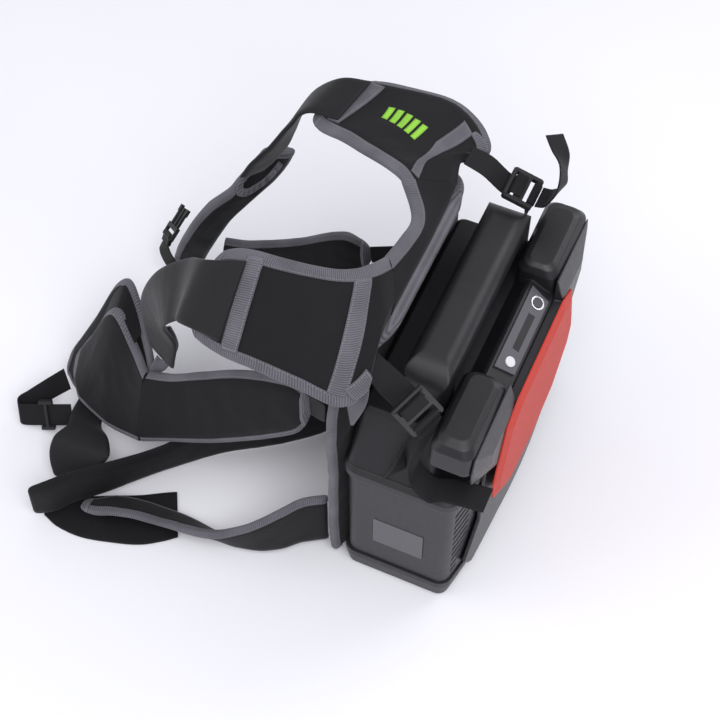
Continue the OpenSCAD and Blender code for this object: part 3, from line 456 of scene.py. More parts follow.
# Noise features per metre, along and across a strip, and along it for the sway of its edges
BIG_FOLD, SMALL_FOLD, FILLING, SWAY = (22, 9), (70, 30), (45, 45), 30
SMALL_FOLD_SHARE, FILLING_OFFSET, SWAY_LAYER = 0.4, 7, 3.0
# How far tape reaches under the skin and stands off it along the sides and at the ends, in millimetres
SUNK, TAPE_LIFT, END_TAPE_LIFT = 0.5, 0.7, 1.0
TAPE_WIDTH, SEWN_LIFT = 10.0, 1.2  # the usual tape and the usual flat piece, in millimetres
SHORT_TAPE = 12  # tape over fewer rings than this has stitches across its ends


@dataclass(frozen=True)
class Station:
    """One line across a strip, in millimetres.

    Attributes:
        a: First edge point.
        b: Second edge point.
        thick: Thickness there, or None for the strip's own.
        heading: Direction of the strip there, or None where its neighbours give it.
    """

    a: Point
    b: Point
    thick: float | None = None
    heading: Point | None = None

    def middle(self) -> Vector:
        """Gives the middle of the line."""
        return (Vector(self.a) + Vector(self.b)) / 2


@dataclass(frozen=True)
class Padding:
    """Cross-section and surface of a strip, in millimetres.

    Attributes:
        thick: Thickness where a station gives none.
        rim: Share of the thickness that is left at the sewn edge.
        rise: Distance from the edge at which the full thickness is reached.
        crown: Extra thickness in the middle, as a share.
        corner: Radius of the outline's corners at the first and the last end.
        ends: Whether the first and the last end are rounded off.
        ripple: Height of the folds that move both faces.
        puff: Unevenness of the filling.
        sway: How far the edges wander in and out.
        step: Distance from ring to ring.
    """

    thick: float
    rim: float = 0.40
    rise: float = 12.0
    crown: float = 0.08
    corner: tuple[float, float] = (0.0, 0.0)
    ends: tuple[bool, bool] = (True, True)
    ripple: float = 0.0
    puff: float = 0.5
    sway: float = 0.0
    step: float = 3.0


@dataclass
class Surface:
    """Grid of points on a strip's skin, ring after ring.

    Attributes:
        points: Rings of points, each from edge a over the face to edge b and back below.
        normals: Outward direction at each point.
        along: Distance along the strip of each ring, in metres.
        around: Distance round the ring of each point, in metres.
        half: Number of points on the upper face.
    """

    points: list[list[Vector]]
    normals: list[list[Vector]]
    along: list[float]
    around: list[list[float]]
    half: int

    def ring(self, distance: float) -> int:
        """Finds the ring nearest to a distance along the strip.

        Args:
            distance: Distance in millimetres, counted from the last end if negative.

        Returns:
            Index of the ring.
        """
        target = distance * MM if distance >= 0 else self.along[-1] + distance * MM
        return min(range(len(self.along)), key=lambda i: abs(self.along[i] - target))


def smooth(t: float) -> float:
    """Eases a share between 0 and 1."""
    t = min(max(t, 0.0), 1.0)
    return t * t * (3 - 2 * t)


def unit_facing(stations: list[Station]) -> list[Vector]:
    """Works out which way the upper face looks at each station.

    Args:
        stations: The strip's stations.

    Returns:
        A unit vector for each station.
    """
    middles = [s.middle() for s in stations]
    last = len(stations) - 1
    found = []
    for i, s in enumerate(stations):
        way = Vector(s.heading) if s.heading else middles[min(i + 1, last)] - middles[max(i - 1, 0)]
        found.append(way.normalized().cross(Vector(s.b) - Vector(s.a)).normalized())
    return found


def hermite(knots: list[float], values: list[Vector], x: float) -> Vector:
    """Follows a smooth curve through values given at knots.

    Args:
        knots: Rising positions.
        values: A vector at each position.
        x: Position to read.

    Returns:
        The vector at x.
    """
    last = len(knots) - 1
    i = max(k for k in range(last) if k == 0 or knots[k] <= x)
    span = knots[i + 1] - knots[i]
    t = min(max((x - knots[i]) / span, 0.0), 1.0)

    def slope(k: int) -> Vector:
        """Gives the slope at a knot from its neighbours."""
        low, high = max(k - 1, 0), min(k + 1, last)
        return (values[high] - values[low]) / (knots[high] - knots[low])

    leave, leave_slope = (1 + 2 * t) * (1 - t) ** 2, t * (1 - t) ** 2
    reach, reach_slope = t * t * (3 - 2 * t), t * t * (t - 1)
    before = values[i] * leave + slope(i) * (leave_slope * span)
    return before + values[i + 1] * reach + slope(i + 1) * (reach_slope * span)


class Strip:
    """A soft strip: pad, band, belt or webbing.

    Flat pieces are sewn on the face that looks up, or on the other face once top has changed its sign.
    """

    def __init__(self, name: str, stations: list[Station], padding: Padding, seed: float = 0.0) -> None:
        """Lays out the strip.

        Args:
            name: Name of the piece.
            stations: Lines across it, in millimetres.
            padding: Its cross-section.
            seed: Offset into the noise, so that pieces differ.
        """
        self.name = name
        self.padding = padding
        self.seed = seed
        self.edge_a = [Vector(s.a) * MM for s in stations]
        self.edge_b = [Vector(s.b) * MM for s in stations]
        self.facing = unit_facing(stations)
        self.top = 1 if sum(face.z for face in self.facing) > 0 else -1
        self.thick = [Vector(((s.thick or padding.thick) * MM, 0, 0)) for s in stations]
        self.knots = [0.0]
        for i in range(1, len(stations)):
            step = (self.edge_a[i] + self.edge_b[i] - self.edge_a[i - 1] - self.edge_b[i - 1]).length / 2
            self.knots.append(self.knots[-1] + step)
        widest = max((b - a).length for a, b in zip(self.edge_a, self.edge_b))
        self.middle_count = max(FEWEST_COLUMNS, round((widest - 2 * EDGE_SPREAD[-1]) / COLUMN_STEP))
        self.surface = self.skin()

    def cut(self, x: float) -> tuple[Vector, Vector, Vector, float]:
        """Reads the strip at one distance along it.

        Args:
            x: Distance in metres.

        Returns:
            Both edge points, the facing direction and the thickness.
        """
        a, b = hermite(self.knots, self.edge_a, x), hermite(self.knots, self.edge_b, x)
        way = (b - a).normalized()
        face = hermite(self.knots, self.facing, x)
        face = (face - way * face.dot(way)).normalized()
        return a, b, face, hermite(self.knots, self.thick, x)[0]

    def spread(self, width: float) -> list[float]:
        """Places the points across a face, closer together near both edges.

        Args:
            width: Width of the strip there, in metres.

        Returns:
            Distances from edge a, in metres.
        """
        share = min(1.0, width / FULL_SPREAD_WIDTH)
        near = [d * share for d in EDGE_SPREAD]
        inner = width - 2 * near[-1]
        count = self.middle_count
        middle = [near[-1] + inner * k / count for k in range(1, count)]
        return near + middle + [width - d for d in reversed(near)]

    def skin(self) -> Surface:
        """Builds the grid of points.

        Returns:
            The strip's surface.
        """
        length = self.knots[-1]
        rings = max(FEWEST_RINGS, round(length / (self.padding.step * MM)))
        stops = [length * k / rings for k in range(1, rings)]
        stops += [*END_SPREAD, *(length - d for d in END_SPREAD)]
        stops = sorted({round(x, 6) for x in stops if 0 <= x <= length})
        points, half = [], 0
        for x in stops:
            a, way, face, thick, width, taper = self.section(x)
            upper, lower = [], []
            for d in self.spread(width):
                shift, grow = self.unevenness(x, d)
                h = self.height(d, width, thick, grow) * taper
                middle = a + way * d + face * shift
                upper.append(middle + face * h)
                lower.append(middle - face * h)
            half = len(upper)
            points.append(upper + lower[-2:0:-1])
        return self.measured(points, stops, half)

    def section(self, x: float) -> tuple[Vector, Vector, Vector, float, float, float]:
        """Reads the outline at one distance, with its round corners and ends.

        Args:
            x: Distance in metres.

        Returns:
            Edge point a, direction to edge b, facing, thickness, width and the share of the
            thickness that a rounded end leaves.
        """
        pad, length = self.padding, self.knots[-1]
        a, b, face, thick = self.cut(x)
        way = (b - a).normalized()
        inset = max(self.inset(x, pad.corner[0]), self.inset(length - x, pad.corner[1]))
        sway = pad.sway * MM * noise.noise(Vector((x * SWAY, self.seed, SWAY_LAYER)))
        taper = self.rounding(x, thick, pad.ends[0]) * self.rounding(length - x, thick, pad.ends[1])
        return a + way * (inset + sway), way, face, thick, (b - a).length - 2 * (inset + sway), taper

    def skin_point(self, x: float, share: float) -> tuple[Vector, Vector]:
        """Finds a point on the face that flat pieces are sewn on.

        Args:
            x: Distance along the strip, in metres.
            share: Share of the width, 0 at edge a and 1 at edge b.

        Returns:
            The point and the direction away from the strip.
        """
        a, way, face, thick, width, taper = self.section(x)
        d = share * width
        shift, grow = self.unevenness(x, d)
        reach = shift + self.top * self.height(d, width, thick, grow) * taper
        return a + way * d + face * reach, face * self.top

    def inset(self, x: float, corner: float) -> float:
        """Narrows the outline near an end, so that its corners are round.

        Args:
            x: Distance from the end, in metres.
            corner: Radius of the corner, in millimetres.

        Returns:
            How far each edge moves in, in metres.
        """
        r = corner * MM
        return r - math.sqrt(max(r * r - (r - x) ** 2, 0.0)) if x < r else 0.0

    def rounding(self, x: float, thick: float, rounded: bool) -> float:
        """Thins the strip over its last stretch.

        Args:
            x: Distance from the end, in metres.
            thick: Thickness, in metres.
            rounded: Whether this end is rounded off.

        Returns:
            Share of the thickness that is left.
        """
        r = min(thick / 2, END_RADIUS)
        if not rounded or x >= r:
            return 1.0
        return max(math.sqrt(max(1 - (1 - x / r) ** 2, 0.0)), THINNEST_END)

    def height(self, d: float, width: float, thick: float, grow: float) -> float:
        """Gives half the thickness at a distance from edge a.

        Args:
            d: Distance from edge a, in metres.
            width: Width of the strip there, in metres.
            thick: Thickness there, in metres.
            grow: Extra thickness from the filling, in metres.

        Returns:
            Half the thickness, in metres.
        """
        pad = self.padding
        near = min(d, width - d)
        rise = smooth(near / min(pad.rise * MM, width / 2))
        body = thick / 2 * (pad.rim + (1 - pad.rim) * rise) + grow * rise
        body *= 1 + pad.crown * (1 - (2 * d / width - 1) ** 2)
        lip = min(thick / 2 * pad.rim, EDGE_LIP)
        return body * math.sqrt(max(1 - (1 - min(near / lip, 1.0)) ** 2, 0.0))

    def unevenness(self, x: float, d: float) -> tuple[float, float]:
        """Gives the folds and the filling's bumps at a point.

        Args:
            x: Distance along, in metres.
            d: Distance across, in metres.

        Returns:
            Shift of both faces and extra half thickness, in metres.
        """
        pad = self.padding
        ends = smooth(min(x, self.knots[-1] - x) / CALM_END)
        big = noise.noise(Vector((x * BIG_FOLD[0], d * BIG_FOLD[1], self.seed)))
        small = noise.noise(Vector((x * SMALL_FOLD[0], d * SMALL_FOLD[1], self.seed)))
        fold = big + SMALL_FOLD_SHARE * small
        bump = noise.noise(Vector((x * FILLING[0], d * FILLING[1], self.seed + FILLING_OFFSET)))
        return fold * pad.ripple * MM * ends, bump * pad.puff * MM * ends

    def measured(self, points: list[list[Vector]], stops: list[float], half: int) -> Surface:
        """Adds normals and distances to a grid of points.

        Args:
            points: The rings.
            stops: Distance of each ring, in metres.
            half: Number of points on the upper face.

        Returns:
            The complete surface.
        """
        count, last = len(points[0]), len(points) - 1
        normals, around = [], []
        for i, ring in enumerate(points):
            walk, row = [0.0], []
            for j in range(count):
                across = ring[(j + 1) % count] - ring[j - 1]
                onward = points[min(i + 1, last)][j] - points[max(i - 1, 0)][j]
                row.append(across.cross(onward).normalized())
                walk.append(walk[-1] + (ring[(j + 1) % count] - ring[j]).length)
            centre = sum(ring, Vector()) / count
            if sum(n.dot(p - centre) for n, p in zip(row, ring)) < 0:
                row = [-n for n in row]
            normals.append(row)
            around.append(walk)
        return Surface(points, normals, stops, around, half)

    def body(self, cloth: bpy.types.Material) -> bpy.types.Object:
        """Makes the closed mesh of the strip.

        Args:
            cloth: Its material.

        Returns:
            The new object.
        """
        mesh = SkinMesh(self.name)
        rings = [[mesh.vertex(p, UNSEWN) for p in ring] for ring in self.surface.points]
        mesh.sheet(rings, self.spot, closed=True)
        self.cap(mesh, rings[0], 0)
        self.cap(mesh, rings[-1], len(rings) - 1)
        return mesh.finish(cloth)

    def spot(self, row: int, column: int) -> tuple[float, float]:
        """Gives the place of a point on the cloth.

        Args:
            row: Index of its ring.
            column: Index round the ring, which may run past the ring's ends.

        Returns:
            Distances along the strip and round it, in metres.
        """
        s = self.surface
        turns, j = divmod(column, len(s.points[0]))
        return s.along[row], s.around[row][j] + turns * s.around[row][-1]

    def cap(self, mesh: "SkinMesh", ring: list[bmesh.types.BMVert], row: int) -> None:
        """Closes an end of the strip, or of a tape that goes round it.

        Args:
            mesh: The mesh under way.
            ring: Its vertices at that end.
            row: Index of the ring under it.
        """
        count = len(ring)
        for j in range(self.surface.half - 1):
            quad = [j, j + 1, count - j - 1, (count - j) % count]
            keep = [q for n, q in enumerate(quad) if q not in quad[:n]]
            if len(keep) > 2:
                mesh.face([ring[q] for q in keep], [self.spot(row, q) for q in keep])

    def tape(self, name: str, rows: tuple[int, int], columns: tuple[int, int], lift: float,
             cloth: bpy.types.Material) -> bpy.types.Object:
        """Makes a thin tape that lies on the strip's skin.

        Args:
            name: Name of the tape.
            rows: First and last ring under it.
            columns: First and last point round the ring, which may run past the ring's end.
            lift: How far its face stands off the skin, in millimetres.
            cloth: Its material.

        Returns:
            The new object.
        """
        s = self.surface
        count = len(s.points[0])
        whole = columns[1] - columns[0] >= count
        cols = range(columns[0], columns[1] + (0 if whole else 1))
        ids = range(rows[0], rows[1] + 1)
        mesh = SkinMesh(name)
        top, low = [], []
        for i in ids:
            upper, under = [], []
            for j in cols:
                p, n = s.points[i][j % count], s.normals[i][j % count]
                gap = min(s.along[i] - s.along[ids[0]], s.along[ids[-1]] - s.along[i])
                if not whole:
                    first, final = s.points[i][cols[0] % count], s.points[i][cols[-1] % count]
                    onward = gap if rows[1] - rows[0] < SHORT_TAPE else UNSEWN
                    gap = min(onward, (p - first).length, (p - final).length)
                upper.append(mesh.vertex(p + n * lift * MM, gap))
                under.append(mesh.vertex(p - n * SUNK * MM, gap))
            top.append(upper)
            low.append(under)

        def spot(r: int, c: int) -> tuple[float, float]:
            """Gives the place on the cloth of one point of the tape."""
            return self.spot(ids[r], cols[0] + c)

        for grid in (top, low):
            mesh.sheet(grid, spot, whole)
        wide, last = len(cols), len(ids) - 1
        steps = [] if whole else [((r, c), (r + 1, c)) for r in range(last) for c in (0, wide - 1)]
        for r in (0, last):
            if whole and ids[r] in (0, len(s.points) - 1):
                self.cap(mesh, top[r], ids[r])
                self.cap(mesh, low[r], ids[r])
            else:
                steps += [((r, c), (r, c + 1)) for c in range(wide if whole else wide - 1)]
        mesh.wall(top, low, steps, spot)
        return mesh.finish(cloth)

    def patch(self, name: str, lines: list[Line], lift: float,
              cloth: bpy.types.Material) -> bpy.types.Object:
        """Makes a flat piece that is sewn on the strip.

        Args:
            name: Name of the piece.
            lines: Lines across it in order, each two points as distance along and share of the width.
            lift: How far its face stands off the skin, in millimetres.
            cloth: Its material.

        Returns:
            The new object.
        """
        ends = [(Vector(line[:2]), Vector(line[2:])) for line in lines]
        spans = len(ends) - 1

        def place(u: float, v: float) -> tuple[Vector, Vector]:
            """Finds one point of the piece.

            Args:
                u: Share across it.
                v: Share of the way from its first line to its last.

            Returns:
                The point on the strip's skin and the direction away from the strip.
            """
            k = min(int(v * spans), spans - 1)
            (a, b), (c, d) = ends[k], ends[k + 1]
            spot = a.lerp(b, u).lerp(c.lerp(d, u), v * spans - k)
            return self.skin_point(spot.x * MM, spot.y)

        wide = (place(1, 0.5)[0] - place(0, 0.5)[0]).length
        tall = (place(0.5, 1)[0] - place(0.5, 0)[0]).length
        cols, rows = (max(FEWEST_CELLS, round(length / PATCH_STEP)) for length in (wide, tall))
        mesh = SkinMesh(name)
        sides = []
        for reach in (lift * MM, -SUNK * MM):
            grid = []
            for i in range(rows + 1):
                line = []
                for j in range(cols + 1):
                    u, v = j / cols, i / rows
                    point, away = place(u, v)
                    gap = min(u * wide, (1 - u) * wide, v * tall, (1 - v) * tall)
                    line.append(mesh.vertex(point + away * reach, gap))
                grid.append(line)
            sides.append(grid)

        def spot(i: int, j: int) -> tuple[float, float]:
            """Gives the place on the cloth of one point of the piece."""
            across, down = j / cols * wide, i / rows * tall
            return (across, down) if wide > tall else (down, across)

        for grid in sides:
            mesh.sheet(grid, spot)
        steps = [((i, j), (i, j + 1)) for i in (0, rows) for j in range(cols)]
        steps += [((i, j), (i + 1, j)) for i in range(rows) for j in (0, cols)]
        mesh.wall(*sides, steps, spot)
        return mesh.finish(cloth)

    def edge_columns(self, width: float, side: int) -> tuple[int, int]:
        """Finds the points under a tape that is folded over an edge.

        Args:
            width: Width of the tape on each face, in millimetres.
            side: 0 for edge a, 1 for edge b.

        Returns:
            First and last point round the ring.
        """
        s = self.surface
        ring = s.points[len(s.points) // 2]
        limit = width * MM + TAPE_SLACK
        reach = max(j for j in range(s.half // 2) if (ring[j] - ring[0]).length <= limit)
        centre = 0 if side == 0 else s.half - 1
        return centre - reach, centre + reach


class SkinMesh:
    """Collects the vertices and faces of a closed skin."""

    def __init__(self, name: str) -> None:
        """Starts an empty mesh.

        Args:
            name: Name of the piece.
        """
        self.name = name
        self.bm = bmesh.new()
        self.uv = self.bm.loops.layers.uv.new("cloth")
        self.stitch = self.bm.verts.layers.float.new("stitch")

    def vertex(self, place: Vector, gap: float) -> bmesh.types.BMVert:
        """Adds a vertex.

        Args:
            place: Its position.
            gap: Distance to the edge that is sewn down, in metres.

        Returns:
            The new vertex.
        """
        v = self.bm.verts.new(place)
        v[self.stitch] = gap
        return v

    def face(self, corners: list[bmesh.types.BMVert], spots: list[tuple[float, float]]) -> None:
        """Adds a face.

        Args:
            corners: Its vertices in order.
            spots: Place of each corner on the cloth, in metres.
        """
        f = self.bm.faces.new(corners)
        f.smooth = True
        for loop, spot in zip(f.loops, spots):
            loop[self.uv].uv = spot

    def sheet(self, grid: list[list[bmesh.types.BMVert]], spot: Spot, closed: bool = False) -> None:
        """Adds the faces between rows of vertices.

        Args:
            grid: The rows.
            spot: Gives the place on the cloth for a row and a column.
            closed: Whether the end of each row meets its start.
        """
        wide = len(grid[0])
        for i in range(len(grid) - 1):
            for j in range(wide if closed else wide - 1):
                ring = [(i, j), (i, j + 1), (i + 1, j + 1), (i + 1, j)]
                self.face([grid[a][b % wide] for a, b in ring], [spot(a, b) for a, b in ring])

    def wall(self, top: list[list[bmesh.types.BMVert]], low: list[list[bmesh.types.BMVert]],
             steps: list[tuple[Cell, Cell]], spot: Spot) -> None:
        """Joins the face of a thin piece to its back.

        Args:
            top: Rows of vertices of the face.
            low: Rows of vertices of the back.
            steps: Steps along the rim, each between two pairs of row and column.
            spot: Gives the place on the cloth for a row and a column.
        """
        wide = len(top[0])
        for (a, b), (c, d) in steps:
            corners = [top[a][b], top[c][d % wide], low[c][d % wide], low[a][b]]
            self.face(corners, [spot(a, b), spot(c, d)] * 2)

    def finish(self, material: bpy.types.Material) -> bpy.types.Object:
        """Closes the mesh, turns its faces outwards and makes the object.

        Args:
            material: Its material.

        Returns:
            The new object.
        """
        bmesh.ops.remove_doubles(self.bm, verts=self.bm.verts[:], dist=WELD)
        bmesh.ops.recalc_face_normals(self.bm, faces=self.bm.faces[:])
        return new_object(self.name, self.bm, material)


def new_object(name: str, bm: bmesh.types.BMesh, material: bpy.types.Material) -> bpy.types.Object:
    """Makes an object from a bmesh and frees it.

    Args:
        name: Name of the object.
        bm: Its geometry.
        material: Its material.

    Returns:
        The linked object.
    """
    mesh = bpy.data.meshes.new(name)
    bm.to_mesh(mesh)
    bm.free()
    mesh.materials.append(material)
    found = bpy.data.objects.new(name, mesh)
    bpy.context.scene.collection.objects.link(found)
    return found


# ---------- places shared with the solids, in millimetres ----------

PAD_Y = -9.8
PAD_FACE_Y = -19.3
ROOT_THICK = 9.6  # where the yoke and the shoulder pads meet
CREASE = (-0.45, -0.86, -0.05)
NEAR_LOCK_AT, NEAR_LOCK_TURN = Vector((128, 73, 284)), (-25, 22, -28)
FAR_LOCK_AT, FAR_LOCK_TURN = Vector((-118, 75, 313)), (-14, 0, 0)
SLIDE_FROM, SLIDE_TURN = Vector((139, -367, 18)), (170, -58.5, -151)
PLUG_AT, PLUG_TURN = Vector((-105, -323, 59)), (41, -31, 49)
WEB_WIDTH, WEB_THICK = 25.0, 1.8
LOCK_LOOP, PLUG_LOOP = 2.3, 1.9  # inside radius of the loops round the bars
LOCK_LOOP_BACK, PLUG_LOOP_BACK = 13.0, 9.0  # from the bar to the seam of the loop
PLY_GAP, LOOP_TURN = 0.1, 40  # half the gap between the plies, degrees from station to station
TAIL_START, SLIDE_REACH = 4.8, 49
# Paths in a lock: distance from the anchor bar, negative towards the free end, and height over the middle
UNDER_LOCK = ((-34, -1.0), (-29, -3.2), (-24.5, -3.6))
THROUGH_LOCK = ((-24, -3.6), (-22, -2.6), (-21.2, 0.0), (-21.0, 2.2), (-19.8, 3.7), (-16, 3.8), (-10.6, 3.7))


def turned(turn: Point, way: Point) -> Vector:
    """Turns a direction by angles about X, then Y, then Z.

    Args:
        turn: The three angles in degrees.
        way: The direction before the turn.

    Returns:
        The direction after it.
    """
    angles = Euler([math.radians(t) for t in turn], "XYZ")
    return angles.to_matrix() @ Vector(way)


def web(centre: Point | Vector, way: Point | Vector, thick: float | None = None,
        heading: Point | None = None) -> Station:
    """Gives the station of a webbing.

    Args:
        centre: Middle of the webbing.
        way: Direction of its width.
        thick: Thickness there, or None.
        heading: Direction of the strip there, or None.

    Returns:
        The station.
    """
    side = Vector(way).normalized() * WEB_WIDTH / 2
    return Station(tuple(Vector(centre) - side), tuple(Vector(centre) + side), thick, heading)


def in_lock(at: Vector, turn: Point, path: tuple[tuple[float, float], ...]) -> list[Station]:
    """Leads a webbing past or through a ladder-lock.

    Args:
        at: Middle of the lock's anchor bar.
        turn: Turn of the lock, in degrees.
        path: UNDER_LOCK or THROUGH_LOCK.

    Returns:
        The stations of the webbing there.
    """
    bar = turned(turn, (1, 0, 0))
    return [web(at + turned(turn, (0, along, over)), bar) for along, over in path]


def looped(stations: list[Station], at: Vector, turn: Point, inner: float, back: float) -> list[Station]:
    """Ends a webbing in a loop round a bar.

    Args:
        stations: Its stations up to the bar.
        at: Middle of the bar.
        turn: Turn of the bar's frame, in degrees.
        inner: Inside radius of the loop.
        back: Distance from the bar at which the short end is sewn down.

    Returns:
        All its stations.
    """
    bar = turned(turn, (1, 0, 0))
    away = stations[-1].middle() - at
    away = (away - bar * away.dot(bar)).normalized()
    side = bar.cross(away)
    ply = WEB_THICK / 2 + PLY_GAP
    found = [*stations, web(at + away * back + side * ply, bar, WEB_THICK, -away)]
    for degrees in range(LOOP_TURN, 360, LOOP_TURN):
        c, s = math.cos(math.radians(degrees)), math.sin(math.radians(degrees))
        spot = at + (away * c + side * s) * (inner + WEB_THICK / 2)
        found.append(web(spot, bar, WEB_THICK, side * c - away * s))
    return [*found, web(at + away * back - side * ply, bar, WEB_THICK, away)]


NEAR_BAR = turned(NEAR_LOCK_TURN, (1, 0, 0))
NEAR_ARM = turned(NEAR_LOCK_TURN, (0, 1, 0))
FAR_BAR = turned(FAR_LOCK_TURN, (1, 0, 0))
FAR_ARM = turned(FAR_LOCK_TURN, (0, 1, 0))
SLIDE_UP = turned(SLIDE_TURN, (1, 0, 0))
SLIDE_ARM = turned(SLIDE_TURN, (0, 1, 0))

BACK_PAD = [
    Station((-146, PAD_Y, 3.3), (146, PAD_Y, 3.3)), Station((-149, PAD_Y, 60), (149, PAD_Y, 60)),
    Station((-148, PAD_Y, 140), (148, PAD_Y, 140)), Station((-149, PAD_Y, 220), (149, PAD_Y, 220)),
    Station((-144, PAD_Y, 268), (144, PAD_Y, 268)), Station((-124, -5, 300), (124, -5, 300)),
    Station((-95, 17, 326), (95, 17, 326), 14),
]
NEAR_ROOT = Station((40, -4, 368), (72, 13, 332), ROOT_THICK, (1, 0, 0.1))
FAR_ROOT = Station((-46, -26, 363), (-84, 11, 332), ROOT_THICK, (-1, -0.1, 0))
YOKE = [
    Station(FAR_ROOT.a, FAR_ROOT.b, ROOT_THICK, (1, 0.1, 0)), Station((-12, -1, 363), (-26, 13, 332)),
    Station((14, -1, 365), (20, 13, 332)), NEAR_ROOT,
]
NEAR_PAD = [
    Station((40.3, -4, 368), (72.3, 13, 332), ROOT_THICK, (1, 0, 0.1)), Station((54, -8, 375), (97, 14, 332)),
    Station((62, -12, 378), (120, 18, 321)), Station((70, -18, 380), (140, 20, 312)),
    Station((78, -32, 381), (163, 8, 317)), Station((83, -55, 381), (166, -28, 325)),
    Station((86, -80, 381), (162, -76, 323)), Station((88, -107, 380), (158, -104, 318)),
    Station((90, -127, 372), (148, -133, 313)), Station((96, -137, 364), (136, -146, 312)),
]
FAR_PAD = [
    Station((-46.3, -26, 363), (-84.3, 11, 332), ROOT_THICK, (-1, -0.1, 0)),
    Station((-51, -36, 364), (-117, 5, 330)),
    Station((-55, -50, 365), (-141, 21, 320)), Station((-59, -66, 365), (-163, 9, 321)),
    Station((-64, -83, 364), (-176, -14, 327)), Station((-69, -96, 361), (-178, -35, 332)),
    Station((-73, -109, 357), (-170, -64, 339)), Station((-79, -123, 353), (-159, -93, 347)),
    Station((-90, -136, 350), (-147, -112, 350)),
]
NEAR_BAND = [
    Station((101, -105, 382), (155, -107, 333.5)), Station((104, -141, 368), (146, -151, 323)),
    Station((87, -170, 334), (129, -163, 298)), Station((82, -203, 297), (124, -182, 272)),
    Station((79, -226, 256), (115, -190, 246)), Station((77, -239, 216), (106, -192, 222)),
    Station((76, -240, 180), (100, -192, 196)), Station((77, -238, 147), (96, -202, 149)),
]
FAR_BAND = [
    Station((-87, -107, 363), (-145, -99, 360)), Station((-87, -134, 361), (-138, -126, 359)),
    Station((-85, -146, 353), (-132, -147, 342)), Station((-83, -152, 341), (-122, -160, 318)),
    Station((-80, -160, 330), (-112, -164, 300)), Station((-76, -176, 302), (-106, -170, 280)),
    Station((-72, -194, 276), (-101, -183, 257)), Station((-70, -205, 253), (-100, -194, 240)),
]
NEAR_WING = [
    Station((112, -47, 226), (118, -43, 202), 8), Station((107, -58, 231), (124, -51, 180), 11),
    Station((104, -74, 227), (127, -64, 166)),
    Station((99, -122, 200), (128, -110, 126)), Station((98, -166, 168), (128, -154, 92)),
    Station((99, -200, 144), (128, -204, 60)), Station((98, -228, 130), (130, -229, 46), 16, CREASE),
]
CHEST_FRONT = [
    Station((101, -231, 131), (132, -232, 47), 8, CREASE), Station((80, -254, 143), (124, -268, 35), 10),
    Station((66, -278, 168), (116, -289, 30), 11), Station((60, -316, 93), (104, -318, 30), 11),
    Station((62, -340, 50), (82, -338, 27), 9),
]
CHEST_REAR = [
    Station((96, -226, 129), (128, -227, 46), 8, CREASE), Station((64.7, -250, 150), (112, -262, 31), 9),
    Station((33, -284, 172), (100, -293, 23), 10), Station((44, -321, 100), (92, -330, 22), 10),
    Station((57, -349, 43), (76, -352, 21), 9),
]
CHEST_SIDE = [
    Station((82, -253, 142), (64, -250, 148)), Station((67, -277, 166), (35, -284, 170)),
    Station((61, -315, 92), (45, -320, 99)), Station((63, -339, 50), (58, -348, 43)),
    Station((82, -337, 28), (76, -350, 22)), Station((104, -317, 31), (92, -329, 23)),
]
POCKET_RIM = [
    Station((96, -229.6, 133), (92, -221.2, 155.8)), Station((95, -221.7, 129.3), (92, -218.6, 150.3)),
    Station((94, -213.6, 136.6), (92, -214.1, 151.4)), Station((92, -207.6, 150), (90, -209.8, 160.1)),
    Station((90, -196.7, 180.2), (88, -207, 174.7)), Station((88, -198.3, 195.3), (86, -208.7, 188)),
    Station((86, -204.4, 207.4), (84, -214.1, 197.4)),
]
CORNER_PATCH = [
    Station((129, -6.8, 283.1), (113, 6.8, 304)), Station((141, 3.2, 290), (134, 21.5, 315.5)),
    Station((145, 7.3, 277), (144, 23.2, 301)), Station((146, 9.5, 263), (146, 12.6, 264)),
]
FAR_WING = [
    Station((-104, -82, 170), (-104, -80, 142), 8), Station((-100, -107, 182), (-101, -103, 112)),
    Station((-100, -159, 145), (-100, -161, 66)), Station((-98, -217, 112), (-98, -223, 28)),
    Station((-98, -246, 102), (-98, -254, 32), 10),
]
FAR_CHEST = [
    Station((-102, -192, 268), (-125, -172, 252), 8), Station((-98, -206, 244), (-124, -180, 229), 10),
    Station((-92, -221, 217), (-118, -195, 202), 14), Station((-87, -229, 201), (-112, -208, 186), 17),
    Station((-81, -250, 176), (-104, -235, 146), 18), Station((-77, -269, 143), (-100, -248, 120), 18),
    Station((-78, -293, 88), (-99, -268, 73), 17), Station((-80, -303, 56), (-98, -277, 50), 13),
]
NEAR_BELT = [
    Station((133, PAD_FACE_Y - 2.6, 88), (134, PAD_FACE_Y - 2.6, 3), None, (0.5, -0.86, 0)),
    Station((147, -43, 87), (147, -43, 3)), Station((164, -59, 82), (162, -59, 3)),
    Station((175, -76, 68), (171, -74, 3)), Station((184, -96, 52), (177, -94, 3)),
    Station((192, -120, 37), (178, -120, 3)), Station((198, -146, 31), (174, -148, 3.8)),
    Station((202, -172, 32), (173, -174, 3.8)), Station((206, -200, 33), (175, -208, 4.8)),
    Station((212, -226, 32), (181, -236, 4.8)), Station((217, -244, 30), (192, -252, 6)),
    Station((216, -258, 27), (200, -262, 11), 6),
]
FAR_BELT = [
    Station((-126, PAD_FACE_Y - 3, 78), (-128, PAD_FACE_Y - 3, 2.4), None, (0.6, -0.8, 0)),
    Station((-92, -44, 78), (-92, -45, 2.4)), Station((-30, -56, 77), (-30, -58, 2.4)),
    Station((17, -73, 74), (17, -74, 2.4)), Station((57, -118, 72), (57, -118, 2.4)),
    Station((90, -164, 68), (90, -166, 2.4)), Station((131, -208, 50), (131, -209, 2.4)),
    Station((178, -252, 56), (178, -252, 2.4)), Station((202, -276, 60), (202, -277, 2.4)),
    Station((220, -292, 60), (220, -291, 2.4)), Station((230, -306, 54), (231, -307, 2.4), 6),
]
